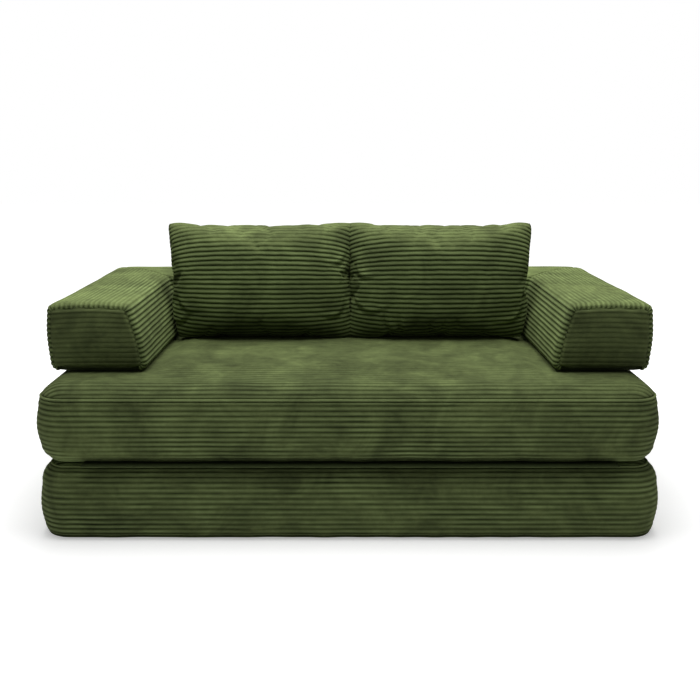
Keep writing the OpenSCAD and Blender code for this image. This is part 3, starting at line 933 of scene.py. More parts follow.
        return points, x, np.broadcast_to(ribs[:, None], x.shape)

    def boxing(self) -> tuple[np.ndarray, np.ndarray, np.ndarray]:
        """Works out the band round the sides, from the bottom seam up over the bulge to the top seam.

        Its profile is an arc, then a side that bows out by a half sine, then another arc. It is carried along the
        outline.

        Returns:
            The band's places without relief, and how far along its rib and at which rib each is, one column wider.
        """
        t = np.linspace(0, 1, self.boxing_steps)
        gap = self.cloth.seam_gap / 2
        foot = self.rounding(self.foot_r, (self.foot_seam - gap / self.foot_r) * (1 - t))
        top = self.rounding(self.top_r, (self.top_seam - gap / self.top_r) * t)
        side = self.bulge * (1 - np.sin(np.pi * t))
        rise = self.foot_r + (self.height - self.foot_r - self.top_r) * t
        profile = np.concatenate([stacked(*foot), stacked(side, rise)[1:-1], stacked(top[0], self.height - top[1])])
        rows, ribs = rib_rows(path_lengths(profile)[-1], self.cloth.pitch)
        stations = along_path(profile, rows)

        centre, way = self.outline()
        plan = centre + (self.corner_r - stations[:, :1, None]) * way + self.middle
        points = stacked(plan[..., 0], plan[..., 1], stations[:, 1:] + self.bottom)
        rim = centre + self.corner_r * way
        along, ribs = np.broadcast_arrays(path_lengths(np.append(rim, rim[:1], 0)), ribs[:, None])
        return points, along, ribs

    def seam_distance(self, points: np.ndarray) -> np.ndarray:
        """Distance of each place from the nearer of the two seams, in plan and in height.

        Args:
            points: the places.

        Returns:
            One distance for each.
        """
        inset = self.distance_in(points[..., 0] - self.middle[0], points[..., 1] - self.middle[1])
        far = []
        for up, edge in self.edges.items():
            seam_inset, depth = self.rounding(*edge)
            far.append(np.hypot(inset - seam_inset, points[..., 2] - self.level(up, depth)))
        return np.minimum(*far)

    def relief(
        self, points: np.ndarray, ribs: np.ndarray, wear: np.ndarray | float = 0.0, closed: bool = False
    ) -> np.ndarray:
        """Raises the ribs and sinks the seams.

        Args:
            points: the smooth places.
            ribs: at which rib each is.
            wear: how far the ribs are rubbed flat.
            closed: whether the grid is closed.

        Returns:
            The finished places.
        """
        height = self.cloth.relief(points, ribs, wear, self.flattening, self.seam_distance(points))
        points = points + grid_normals(points, closed) * height[..., None]
        return self.zip.carve(self.hinge.room(points, self.hinge_side))

    def side_wear(self, points: np.ndarray) -> np.ndarray:
        """How far the nap round the sides is rubbed flat: in long patches along the ribs."""
        stretched = points * np.array([1.0, 1.0, self.side_stretch])
        return np.clip(self.side_rub[0] + self.rubs.at(stretched) + self.scuffs.at(stretched), 0, self.side_rub[1])

    def lid_wear(self, points: np.ndarray) -> np.ndarray:
        """How far the nap on the top is rubbed flat."""
        return np.clip(self.lid_rub[0] + self.rubs.at(points) + self.scuffs.at(points), 0, self.lid_rub[1])

    def build(self, material: bpy.types.Material) -> bpy.types.Object:
        """Makes the mattress.

        Args:
            material: the corduroy.

        Returns:
            The piece.
        """
        cover = Cover(self.name)
        points, along, ribs = self.lid(True)
        wear = self.lid_wear(points)
        blotches = [Wander(25, 220 * MM, self.blotch), Wander(26, 70 * MM, self.blotch * 0.7)]
        # Painted shade over the top, times random blotches of tone
        nap = self.lid_painted_shade * (1 + sum(field.at(points) for field in blotches))
        top = cover.panel(self.relief(points, ribs, wear), along, ribs, wear, nap=nap)
        points, along, ribs = self.lid(False)
        bottom = cover.panel(self.relief(points, ribs), along, ribs)
        points, along, ribs = self.boxing()
        wear = self.side_wear(points)
        relief = self.relief(points, ribs[:, :-1], wear, True)
        # Painted shade: the boxing is drawn darker in its lowest few centimetres, where the mattress stands
        above_foot_shade = smooth(*self.foot_shade_rise, points[..., 2] - self.bottom)
        nap = self.side_painted_shade * (self.foot_painted_shade + (1 - self.foot_painted_shade) * above_foot_shade)
        band = cover.panel(relief, along, ribs, wear, closed=True, nap=nap)
        cover.seam(rim_of(bottom)[::-1], band[0])
        cover.seam(band[-1], rim_of(top))
        for up in (True, False):
            # The cords are drawn darker by painted shade: the top one a little, the bottom one as much as the
            # boxing's foot
            nap = self.side_painted_shade * (self.cord_painted_shade if up else self.foot_painted_shade)
            cover.piping(*self.seam_path(up), self.cloth.piping_r, self.cord_wear, nap)
        piece = cover.build(material)
        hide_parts(self.cover, self.foam)
        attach(piece, self.body)
        return piece


@dataclass
class SeatMattress(Mattress):
    """The upper mattress, whose middle is sat on: its nap is rubbed and its ribs are pressed there."""

    top_seam: float = math.radians(27.0)
    foot_seam: float = math.radians(62.0)
    arm_foot: float = 575.0 * MM
    back_foot: float = 175.0 * MM
    arm_front: float = -334.0 * MM
    arm_press: float = 60.0 * MM
    back_press: float = 45.0 * MM
    lid_rub: tuple[float, float] = (0.60, 0.97)
    sat_rub: float = 0.32
    sat_from: tuple[float, float] = (-490.0 * MM, -340.0 * MM)
    rubs_share: float = 0.6
    scuffs_share: float = 0.5

    def rise(self, x: np.ndarray, y: np.ndarray, inset: np.ndarray) -> np.ndarray:
        """Height of the crown, which also ends at the feet of the arms and the back, where it is pressed down.

        Args:
            x: X of each place, from the middle.
            y: Y of each place.
            inset: how far inside the outline each is.

        Returns:
            The height at each.
        """
        side = np.maximum(self.arm_foot - np.abs(x), 0)
        ahead = np.maximum(self.arm_front - y, 0)
        arm_gap = np.where(y < self.arm_front, np.hypot(side, ahead), side)
        free = smooth(0, self.arm_press, arm_gap) * smooth(0, self.back_press, self.back_foot - y)
        return super().rise(x, y, inset) * free

    def lid_wear(self, points: np.ndarray) -> np.ndarray:
        """How far the nap is rubbed flat: much where people sit, less towards the front edge.

        Args:
            points: the smooth places.

        Returns:
            The wear at each.
        """
        usual, greatest = self.lid_rub
        uneven = self.rubs_share * self.rubs.at(points) + self.scuffs_share * self.scuffs.at(points)
        return np.clip(usual + self.sat_rub * smooth(*self.sat_from, points[..., 1]) + uneven, 0, greatest)


@dataclass
class Bolster:
    """The U-shaped bolster: one cover swept along both arms and the back, with a mitre seam at each back corner."""

    name: str
    cloth: Cloth
    zip: Zip
    arm_slope: float = math.atan(50 / 205)
    back_slope: float = math.atan(65 / 205)
    arm_w: float = 300.0 * MM
    back_w: float = 325.0 * MM
    edge_r: float = 25.0 * MM
    end_r: float = 26.0 * MM
    corner_r: float = 95.0 * MM
    least_r: float = 3.0 * MM
    bulge: float = 5.0 * MM
    lift: float = 1.6 * MM
    end_seam: float = math.radians(28.0)
    end_crown: float = 3.0 * MM
    crown_reach: float = 70.0 * MM
    tightening: float = 0.8
    mitre_depth: float = 4.5 * MM
    mitre_w: float = 4.2 * MM
    mitre_fade: tuple[float, float] = (-10.0 * MM, 50.0 * MM)
    mitre_outside: float = 0.25
    puff_share: float = 0.5
    rubs: Wander = Wander(22, 350.0 * MM, 0.5)
    flattening: float = 0.5
    end_flattening: float = 0.6
    end_rub: float = 0.8
    # Factor that draws the arm ends darker than the rest of the cover
    end_darkening: float = 0.80
    # Factor that draws faces which look up lighter: painted light
    top_painted_light: float = 1.35
    # Upward shares of a face's normal between which its nap is drawn rubbed, partly real rubbing and partly painted
    # light, and between which it is drawn lighter, painted light from overhead
    rub_and_painted_light_slopes: tuple[float, float] = (0.35, 0.9)
    painted_light_slopes: tuple[float, float] = (0.05, 0.7)
    end_band: float = 25.0 * MM
    end_columns: int = 24
    end_stations: int = 9
    arm_stations: int = 34
    back_stations: int = 46
    arc_points: int = 30
    under_rows: int = 10

    def __post_init__(self) -> None:
        """Reads the bolster's size and place from its cover in the frame."""
        low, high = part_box("bolster_cover")
        self.x, self.front, self.back = high.x, low.y, high.y
        self.bottom, self.height = low.z, high.z - low.z

    def section(self, width: float, slope: float) -> np.ndarray:
        """Section of an arm or the back: distance in from the outer face and height above the seat.

        It starts under the inner face and goes up the slanted inner face, over the top, down the outer face and
        back underneath, with an arc at each edge and faces that bow out between them by a half sine.

        Args:
            width: how wide the section is where it stands.
            slope: how far its inner face leans from upright.

        Returns:
            The points, closed, with the underside last.
        """
        t = np.linspace(0, 1, self.arc_points)
        set_in = self.edge_r + self.bulge
        low, high = self.edge_r, self.height - set_in
        inner = [width - (set_in + h * math.sin(slope)) / math.cos(slope) for h in (low, high)]
        corners = [((inner[0], low), -math.pi / 2, slope), ((inner[1], high), slope, math.pi / 2),
                   ((set_in, high), math.pi / 2, math.pi), ((set_in, low), math.pi, 1.5 * math.pi)]
        arcs = []
        for corner, start, end in corners:
            angle = start + (end - start) * t
            arcs.append(np.array(corner) + self.edge_r * stacked(np.cos(angle), np.sin(angle)))
        parts = []
        for arc, after in zip(arcs, arcs[1:]):
            step = after[0] - arc[-1]
            out = np.array([step[1], -step[0]]) / np.linalg.norm(step)
            parts += [arc, arc[-1] + step * t[1:-1, None] + out * self.bulge * np.sin(np.pi * t[1:-1, None])]
        under = arcs[-1][-1] + (arcs[0][0] - arcs[-1][-1]) * t[1:, None]
        return np.concatenate(parts + [arcs[-1], under])

    def sections(self) -> tuple[np.ndarray, np.ndarray, np.ndarray]:
        """Sections of arm and back at the same rib rows.

        Returns:
            The arm's and the back's points at each row, and at which rib each row is. Past the last rib they lie
            on the underside.
        """
        arm, back = self.section(self.arm_w, self.arm_slope), self.section(self.back_w, self.back_slope)
        lengths = path_lengths(arm)
        shown = lengths[-self.arc_points]
        rows, ribs = rib_rows(shown, self.cloth.pitch)
        under = np.linspace(shown, lengths[-1], self.under_rows + 2)[1:-1]
        places = np.arange(len(arm))
        share = np.interp(np.append(rows, under), lengths, places)
        arm, back = (stacked(*(np.interp(share, places, way) for way in section.T)) for section in (arm, back))
        # On the underside the cloth stays at the start of a rib, so it takes the groove colour, partly painted shade,
        # all over
        return arm, back, np.append(ribs, ribs[-1] + np.arange(1, self.under_rows + 1) * 0.001)

    def drawn_in(self, section: np.ndarray, draw: np.ndarray | float) -> np.ndarray:
        """Draws a closed section in along its own normals."""
        steps = closed_steps(section, -2)
        return section - unit(stacked(steps[..., 1], -steps[..., 0])) * draw

    def half_sleeve(self) -> tuple[np.ndarray, np.ndarray]:
        """Works out the cover of the right arm and the right half of the back, from the end seam to the middle.

        The front end is a quarter circle that draws the section in. Each rib row turns round the corner on its own
        arc, which gets tighter from the outer face to the inner one.

        Returns:
            The places, station by station, and how far each station is from the mitre along its own path.
        """
        arm, back, _ = self.sections()
        radius = np.maximum(self.corner_r - self.tightening * (arm[:, 0] + back[:, 0]), self.least_r)
        half_arc = radius * np.pi / 4
        centre = stacked(self.x - arm[:, 0] - radius, self.back - back[:, 0] - radius)
        height = self.bottom + arm[:, 1]

        angle = np.linspace(self.end_seam, np.pi / 2, self.end_stations)[:-1, None]
        core = self.drawn_in(arm, self.end_r * (1 - np.sin(angle))[..., None])
        y = self.front + self.end_r * (1 - np.cos(angle))
        end = stacked(self.x - core[..., 0], y, self.bottom + core[..., 1])

        turn = MITRE_STEPS[0] - half_arc
        share = np.linspace(0, 1, self.arm_stations)[:-1, None]
        y = self.front + self.end_r + (centre[:, 1] - turn - self.front - self.end_r) * share
        straight = stacked(self.x - arm[:, 0], y, height)

        sigma = np.concatenate([-MITRE_STEPS, [0.0], MITRE_STEPS[::-1]])[:, None]
        beyond = np.maximum(np.abs(sigma) - half_arc, 0)
        angle = np.pi / 4 + np.clip(sigma, -half_arc, half_arc) / radius
        x = centre[:, 0] + radius * np.cos(angle) - beyond * (sigma > 0)
        y = centre[:, 1] + radius * np.sin(angle) - beyond * (sigma < 0)
        corner = stacked(x, y, height)

        share = np.linspace(1, 0, self.back_stations)[1:, None]
        rear = stacked((centre[:, 0] - turn) * share, self.back - back[:, 0], height)
        before, after = (np.full((count, 1), 2 * MITRE_STEPS[0]) for count in (len(end) + len(straight), len(rear)))
        return np.concatenate([end, straight, corner, rear]), np.concatenate([before, sigma, after])

    def end_panel(self) -> tuple[np.ndarray, np.ndarray, np.ndarray, np.ndarray]:
        """Works out the panel on the right arm's front end, with its ribs along X.

        Its four sides are stretches of the drawn-in section. A place inside is the blend of both pairs of opposite
        sides, less the blend of the corners. The panel rounds off to its seam as the rest of the quarter circle
        does, and crowns a little.

        Returns:
            The places without relief, how far along its rib each is, at which rib, and its distance from the seam.
        """
        start = self.end_r * (1 - math.sin(self.end_seam))
        rim = self.drawn_in(self.section(self.arm_w, self.arm_slope), start + self.cloth.seam_gap)
        rim = stacked(self.x - rim[:, 0], self.bottom + rim[:, 1])
        # The section has its four corners in the middles of its arcs
        inner_foot, inner_top, outer_top, outer_foot = np.arange(4) * 2 * (self.arc_points - 1) + self.arc_points // 2
        left, right = rim[inner_foot:inner_top + 1], rim[outer_top:outer_foot + 1][::-1]
        top, foot = rim[inner_top:outer_top + 1], np.concatenate([rim[outer_foot:], rim[:inner_foot + 1]])[::-1]
        tall, wide = (path_lengths(side)[-1] for side in (right, foot))
        rows, ribs = rib_rows(tall, self.cloth.pitch)
        v = rows[:, None] / tall
        near = SEAM_STEPS[SEAM_STEPS < self.end_band] / wide
        u = np.concatenate([near, np.linspace(near[-1], 1 - near[-1], self.end_columns)[1:-1], 1 - near[::-1]])
        top, foot = (along_path(side, u * path_lengths(side)[-1]) for side in (top, foot))
        left, right = (along_path(side, v[:, 0] * path_lengths(side)[-1])[:, None] for side in (left, right))
        v, u = v[..., None], u[None, :, None]
        corners = (1 - v) * ((1 - u) * foot[0] + u * foot[-1]) + v * ((1 - u) * top[0] + u * top[-1])
        face = (1 - v) * foot + v * top + (1 - u) * left + u * right - corners
        x, z = face[..., 0], face[..., 1]
        gap = np.hypot(x[..., None] - rim[:, 0], z[..., None] - rim[:, 1]).min(-1)
        rounding = np.clip(1 - (gap + start) / self.end_r, 0, 1)
        y = self.front + self.end_r * (1 - np.sqrt(1 - rounding**2))
        y -= self.end_crown * smooth(0, self.crown_reach, gap)
        return stacked(x, y, z), x, np.broadcast_to(ribs[:, None], x.shape), gap

    def wear_on(self, normals: np.ndarray, points: np.ndarray) -> np.ndarray:
        """How far the nap is drawn rubbed flat: on faces that look up, along the tops of arms and back, partly real
        rubbing and partly painted light that evens out the ribs.
        """
        patches = 0.6 + 0.4 * self.rubs.at(points)
        return np.clip(0.1 + smooth(*self.rub_and_painted_light_slopes, normals[..., 2]) * patches, 0, 0.85)

    def build(self, material: bpy.types.Material) -> bpy.types.Object:
        """Makes the bolster.

        Args:
            material: the corduroy.

        Returns:
            The piece.
        """
        cloth = self.cloth
        _, _, ribs = self.sections()
        half, mitre = self.half_sleeve()
        grid = np.concatenate([half, half[-2::-1] * MIRROR])
        mitre = np.concatenate([mitre, mitre[-2::-1]])
        along = path_lengths(grid)
        normals = grid_normals(grid, True)
        wear = self.wear_on(normals, grid)
        height = cloth.relief(grid, ribs, wear, self.flattening, np.minimum(along, along[-1] - along))
        height += cloth.puff.at(grid) * self.puff_share
        # The mitre seams are deepest on the top and the inner faces
        inside = smooth(*self.mitre_fade, self.back - grid[..., 1] + np.maximum(0, self.x - np.abs(grid[..., 0])))
        depth = self.mitre_depth * (self.mitre_outside + (1 - self.mitre_outside) * inside)
        height += depth * seam_dip(mitre, self.mitre_w)
        height[:, -self.under_rows:] = -self.lift
        cover = Cover(self.name)
        wide = np.concatenate([along, along[:, :1]], 1)
        rib_wide = np.broadcast_to(np.append(ribs, ribs[-1]), wide.shape)
        # Faces that look up are drawn lighter: painted light
        nap = 1 + (self.top_painted_light - 1) * smooth(*self.painted_light_slopes, normals[..., 2])
        relief = self.zip.carve(grid + normals * height[..., None])
        sleeve = cover.panel(relief, wide, rib_wide, wear, closed=True, nap=nap)
        points, across, ribs, gap = self.end_panel()
        height = cloth.relief(points, ribs, self.end_rub, self.end_flattening, gap)
        points = points + grid_normals(points) * height[..., None]
        right, left = (
            cover.panel(face, across, ribs, self.end_rub, nap=self.end_darkening)
            for face in (points, points[:, ::-1] * MIRROR)
        )
        cover.seam(rim_of(right)[::-1], sleeve[0])
        cover.seam(sleeve[-1], rim_of(left))
        piece = cover.build(material)
        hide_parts("bolster_cover", "left_arm_foam", "right_arm_foam", "back_foam")
        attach(piece, "seat")
        return piece


def resample(grid: np.ndarray, rows: np.ndarray, columns: np.ndarray) -> np.ndarray:
    """Smooth values between the places of a coarse grid: a cubic through the four nearest, rows first, then columns.

    Args:
        grid: the coarse grid, rows by columns by values.
        rows: wanted rows, as places from 0 to the last row's number.
        columns: wanted columns in the same way.

    Returns:
        The fine grid.
    """
    for wanted in (rows, columns):
        padded = np.concatenate([2 * grid[:1] - grid[1:2], grid, 2 * grid[-1:] - grid[-2:-1]])
        first = np.clip(wanted.astype(int), 0, len(grid) - 2)
        t = (wanted - first)[:, None, None]
        a, b, c, d = (padded[first + k] for k in range(4))
        grid = b + (c - a) * t / 2 + (a - 2.5 * b + 2 * c - d / 2) * t**2 + (1.5 * (b - c) + (d - a) / 2) * t**3
        grid = grid.swapaxes(0, 1)
    return grid


def inflate(front: np.ndarray, back: np.ndarray, cut: np.ndarray, seed: int) -> tuple[np.ndarray, np.ndarray]:
    """Swells a sewn cover with Blender's cloth simulation, without gravity.

    The cover starts as given and its threads pull towards the lengths that the panels were cut to, so that cloth
    which is too long for its seam puckers there.

    Args:
        front: the front panel's places, rows by columns.
        back: the back panel's places in the same rows and columns.
        cut: each panel as it was cut, flat.
        seed: seed of the small unevenness that it starts from.

    Returns:
        The places of both panels after the simulation.
    """
    scene = bpy.context.scene
    size = front.shape[:2]
    fronts = np.arange(size[0] * size[1]).reshape(size)
    inner = np.zeros(size, bool)
    inner[1:-1, 1:-1] = True
    backs = fronts.copy()
    backs[inner] = fronts.size + np.arange(inner.sum())
    points = np.concatenate([front.reshape(-1, 3), back[inner]])
    edge = fronts[~inner]
    points[edge] = (front[~inner] + back[~inner]) / 2
    points += stacked(*(Wander(seed + k, length=50 * MM, size=0.6 * MM).at(points) for k in range(3)))
    flat = np.concatenate([cut.reshape(-1, 3), cut[inner]])
    quads = [np.stack([i[:-1, :-1], i[:-1, 1:], i[1:, 1:], i[1:, :-1]], -1).reshape(-1, 4) for i in (fronts, backs)]
    mesh = bpy.data.meshes.new("cloth_to_swell")
    mesh.from_pydata(points.tolist(), [], np.concatenate([quads[0], quads[1][:, ::-1]]).tolist())
    piece = bpy.data.objects.new("cloth_to_swell", mesh)
    scene.collection.objects.link(piece)
    piece.shape_key_add(name="sewn")
    key = piece.shape_key_add(name="cut")
    key.data.foreach_set("co", flat.astype(np.float32).ravel())
    cloth = piece.modifiers.new("cloth", "CLOTH")
    settings = cloth.settings
    settings.use_pressure, settings.uniform_pressure_force = True, 4.0
    settings.mass, settings.quality, settings.air_damping = 0.3, 6, 3.0
    settings.tension_stiffness = settings.compression_stiffness = 15.0
    settings.shear_stiffness, settings.bending_stiffness = 5.0, 1.2
    settings.effector_weights.gravity = 0.0
    settings.rest_shape_key = key
    cloth.collision_settings.use_collision = False
    for step in range(1, SWELL_STEPS + 1):
        scene.frame_set(step)
    swollen = piece.evaluated_get(bpy.context.evaluated_depsgraph_get()).data
    moved = np.empty(points.size, np.float32)
    swollen.vertices.foreach_get("co", moved)
    moved = moved.reshape(-1, 3).astype(float)
    bpy.data.objects.remove(piece)
    bpy.data.meshes.remove(mesh)
    scene.frame_set(1)
    return moved[fronts], moved[backs]


@dataclass
class Pillow:
    """A loose back pillow: two panels of corduroy sewn together at a knife edge, full in its middle."""

    name: str
    side: int
    cloth: Cloth
    zip: Zip
    seed: int
    folds: tuple[tuple[tuple[float, float], float, float], ...]
    width: float = 625.0 * MM
    pressed: float = 19.0 * MM
    height: float = 396.0 * MM
    thickness: float = 196.0 * MM
    slack_t: float = 172.0 * MM
    y: float = 129.206 * MM
    z: float = 644.832 * MM
    top_draw: float = 4.0 * MM
    corner: float = 9.0 * MM
    corner_power: int = 12
    droop: float = 14.0 * MM
    droop_reach: float = 75.0 * MM
    outer_droop: float = 0.6
    outer_droop_reach: float = 46.875 * MM
    gather: float = 0.10
    gather_reach: float = 42.0 * MM
    side_gather_share: float = 0.06
    arm_foot: float = 573.0 * MM
    arm_slope: float = 50 / 205
    arm_soft: float = 7.0 * MM
    foot_soft: float = 5.0 * MM
    pressed_past_middle: float = 1.0 * MM
    # Factors that draw faces which look up lighter, painted light, and faces which look down darker, painted shade
    top_painted_light: float = 1.22
    low_painted_shade: float = 0.52
    seam_t: float = 4.0 * MM
    lean: float = math.radians(7.0)
    side_power: float = 2.4
    top_power: float = 3.2
    low_power: float = 2.4
    edge_power: float = 0.5
    cut_share: float = 0.18
    most_moved: float = 18.0 * MM
    swell_room: float = 2.0 * MM
    fold_depth: float = 6.5 * MM
    fold_w: float = 9.0 * MM
    fold_bend: float = 0.9
    fold_fade: float = 1.8
    ridge_at: float = 13.0 * MM
    ridge_w: float = 11.0 * MM
    ridge_share: float = 0.7
    rib_fade: tuple[float, float] = (-14.0 * MM, 20.0 * MM)
    # Upward shares of a face's normal between which its nap is drawn rubbed and lighter, partly real rubbing and
    # partly painted sheen and light from above, and between which it is drawn darker, painted shade on faces that
    # look down
    rub_and_painted_light_slopes: tuple[float, float] = (0.22, 0.62)
    painted_shade_slopes: tuple[float, float] = (0.05, -0.55)
    least_wear: float = 0.1
    # Wear on faces that look up: partly real rubbing, partly painted sheen that evens out the ribs
    top_wear_and_painted_sheen: float = 0.75
    flattening: float = 0.7
    crease_share: float = 0.7
    coarse: tuple[int, int] = (64, 86)
    columns: int = 150

    def __post_init__(self) -> None:
        """Reads the pillow's place from its cover in the frame."""
        self.node = f"{'right' if self.side > 0 else 'left'}_pillow"
        low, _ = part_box(self.node + "_cover")
        self.foot = low.z
        self.x = self.side * (self.width / 2 - self.pressed)

    def upright(self, u: np.ndarray, v: np.ndarray, face: int, thickness: float) -> np.ndarray:
        """Works out places on the upright pillow, with its middle at the origin.

        Each panel swells by the square root of a product, of one less a power of each share. The power of the
        second share is lower below the middle, so that the pillow is square above and round below. The top seam is
        drawn in between its corners, and all corners are rounded by the twelfth power of both shares.

        Args:
            u: share of the half width, from -1 to 1.
            v: share of the half height.
            face: 1 for the back panel and -1 for the front one.
            thickness: the pillow's thickness in its middle.

        Returns:
            The places.
        """
        power = np.where(v > 0, self.top_power, self.low_power)
        left = (1 - np.abs(u) ** self.side_power) * (1 - np.abs(v) ** power)
        swell = (thickness - self.seam_t) / 2 * np.maximum(left, 0) ** self.edge_power
        rounded = self.corner * (u * v) ** self.corner_power
        drawn = self.top_draw * (v > 0) * (1 - u**2) * v**2
        z = v * (self.height / 2 - drawn - rounded)
        return stacked(u * (self.width / 2 - rounded), face * (self.seam_t / 2 + swell), z)

    def panel(self, face: int, shares: np.ndarray, u: np.ndarray, thickness: float) -> np.ndarray:
        """Works out one panel with its rows where the ribs lie: each rib keeps its share of the panel's length.

        Args:
            face: 1 for the back panel and -1 for the front one.
            shares: how far up the panel each row is, from 0 to 1.
            u: share of the half width at each column.
            thickness: the pillow's thickness in its middle.

        Returns:
            The places, rows by columns.
        """
        v = close_at_ends(MEASURED_STEPS)
        lengths = path_lengths(self.upright(u, v[:, None], face, thickness))
        rows = stacked(*(np.interp(shares, column / column[-1], v) for column in lengths.T))
        return self.upright(u, rows, face, thickness)

    def cut(self, front: np.ndarray) -> np.ndarray:
        """Works out the flat panel: partly a plain rectangle, partly cut to the filled pillow's own lengths.

        Close to each seam it is longer along the seam, by a share that falls off exponentially, so that it gathers
        there.

        Args:
            front: the filled pillow's front panel.

        Returns:
            The flat panel in the same rows and columns.
        """
        flat = []
        for axis, share in ((1, self.side_gather_share), (0, 1.0)):
            lengths = path_lengths(front, axis)
            end = lengths.take([-1], axis)
            across = np.linspace(0, 1, front.shape[1 - axis])
            inset = np.minimum(across, 1 - across) * (self.height if axis else self.width)
            gathered = 1 + share * self.gather * np.exp(-inset / self.gather_reach)
            size = (end * (1 - self.cut_share) + end.max() * self.cut_share) * np.expand_dims(gathered, axis)
            flat.append((lengths / end - 0.5) * size)
        return stacked(flat[0], 0.0, flat[1])

    def settled(self) -> list[np.ndarray]:
        """Works out both panels on the coarse grid, swollen by the simulation and kept within the pillow's space.

        Returns:
            The front panel and the back panel.
        """
        shares, u = np.linspace(0, 1, self.coarse[0]), np.linspace(-1, 1, self.coarse[1])
        full = [self.panel(face, shares, u, self.thickness) for face in (-1, 1)]
        start = [self.panel(face, shares, u, self.slack_t) for face in (-1, 1)]
        swollen = inflate(*start, self.cut(start[0]), self.seed)
        size = np.ptp(np.concatenate([p.reshape(-1, 3) for p in swollen]), axis=0)
        fit = np.array([self.width, self.thickness + self.swell_room, self.height]) / size
        kept = []
        for target, moved in zip(full, swollen):
            move = moved * fit - target
            far = np.maximum(np.linalg.norm(move, axis=-1, keepdims=True) / self.most_moved, 1)
            kept.append(target + move / far)
        return kept

    def placed(self, points: np.ndarray) -> np.ndarray:
        """Leans the upright pillow back and puts it in its place, pressed flat where it stands and at the arm.

        Args:
            points: places on the upright pillow.

        Returns:
            The places where they belong.
        """
        c, s = math.cos(self.lean), math.sin(self.lean)
        y = self.y + points[..., 1] * c + points[..., 2] * s
        z = self.z + points[..., 2] * c - points[..., 1] * s
        z = self.foot + kept_clear(z - self.foot, self.foot_soft)
        limit = self.arm_foot + (z - self.foot) * self.arm_slope
        out = limit - kept_clear(limit - (self.x + points[..., 0]) * self.side, self.arm_soft)
        return stacked(out * self.side, y, z)

    def drooped(self, points: np.ndarray, rows: np.ndarray, along: np.ndarray) -> np.ndarray:
        """Moves down the panel near its side seams, where the ribs above the middle hang.

        The move is a half sine from the middle of the panel up to its top, and fades exponentially away from each
        side seam, more slowly from the one between the pillows.

        Args:
            points: the panel's places.
            rows: how far up the panel each row is.
            along: X of each place from the pillow's middle, sewn flat.

        Returns:
            The move at each place.
        """
        share = np.clip(rows / rows[-1] * 2 - 1, 0, 1)[:, None]
        inner, outer = (self.width / 2 + k * self.side * along for k in (1, -1))
        near = np.exp(-inner / self.droop_reach) + self.outer_droop * np.exp(-outer / self.outer_droop_reach)
        steps = np.gradient(points, axis=0) / np.gradient(rows)[:, None, None]
        return -steps * (self.droop * np.sin(np.pi * share) * near)[..., None]

    def fold(self, points: np.ndarray, at: tuple[float, float], way: float, length: float) -> np.ndarray:
        """Share of a fold's depth: a groove with a ridge beside it, which fades along its length.

        Groove, ridge and fading are bell curves, and the fold bends along a parabola.

        Args:
            points: places on the pillow.
            at: X and Z of the fold's middle.
            way: its direction from X, in radians.
            length: how long it is.

        Returns:
            The share at each place, on the front only.
        """
        x, z = points[..., 0] - at[0], points[..., 2] - at[1]
        along = x * math.cos(way) + z * math.sin(way)
        across = -x * math.sin(way) + z * math.cos(way) - self.fold_bend * along**2 / length
        profile = seam_dip(across, self.fold_w) - self.ridge_share * seam_dip(across - self.ridge_at, self.ridge_w)
        return profile * np.exp(-(along / length * self.fold_fade) ** 2) * (points[..., 1] < self.y)

    def build(self, material: bpy.types.Material) -> bpy.types.Object:
        """Makes the pillow.

        Args:
            material: the corduroy.

        Returns:
            The piece.
        """
        cloth = self.cloth
        cover = Cover(self.name)
        middle = close_at_ends(MEASURED_STEPS)
        length = path_lengths(self.upright(np.zeros_like(middle), middle, -1, self.thickness))[-1]
        rows, ribs = rib_rows(length, cloth.pitch)
        u = close_at_ends(self.columns)
        rims = []
        for face, grid in zip((-1, 1), self.settled()):
            points = resample(grid, rows / length * (self.coarse[0] - 1), (u + 1) / 2 * (self.coarse[1] - 1))
            points = self.placed(points)[:, ::-face]
            along = np.broadcast_to((-face * u) * self.width / 2, points.shape[:2])
            across = np.broadcast_to(ribs[:, None], along.shape)
            points = points + self.drooped(points, rows, along)
            normals = grid_normals(points)
            # Faces that look up are drawn rubbed and lighter: partly real rubbing, partly painted sheen and light
            # from above
            up = smooth(*self.rub_and_painted_light_slopes, normals[..., 2])
            wear = self.least_wear + self.top_wear_and_painted_sheen * up
            # The ribs are pulled flat towards the side seams
            ribbed = smooth(*self.rib_fade, self.width / 2 - np.abs(along)) * (1 - self.flattening * wear)
            height = cloth.depth * rib_relief(across) * ribbed
            height += cloth.crease.at(points) * self.crease_share - cloth.crease.size
            for at, way, reach in self.folds:
                height += self.fold_depth * self.fold(points, at, way, reach)
            # Painted light on faces that look up and painted shade on faces that look down
            nap = 1 + (self.top_painted_light - 1) * up - self.low_painted_shade * smooth(*self.painted_shade_slopes, normals[..., 2])
            relief = self.zip.carve(points + normals * height[..., None])
            # The two pillows press against each other between them
            relief[..., 0] = np.maximum(relief[..., 0] * self.side, -self.pressed_past_middle) * self.side
            rims.append(rim_of(cover.panel(relief, along, across, wear, nap=nap)))
        cover.seam(rims[0][::-1], rims[1])
        piece = cover.build(material)
        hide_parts(self.node + "_cover", self.node + "_filling")
        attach(piece, self.node)
        return piece


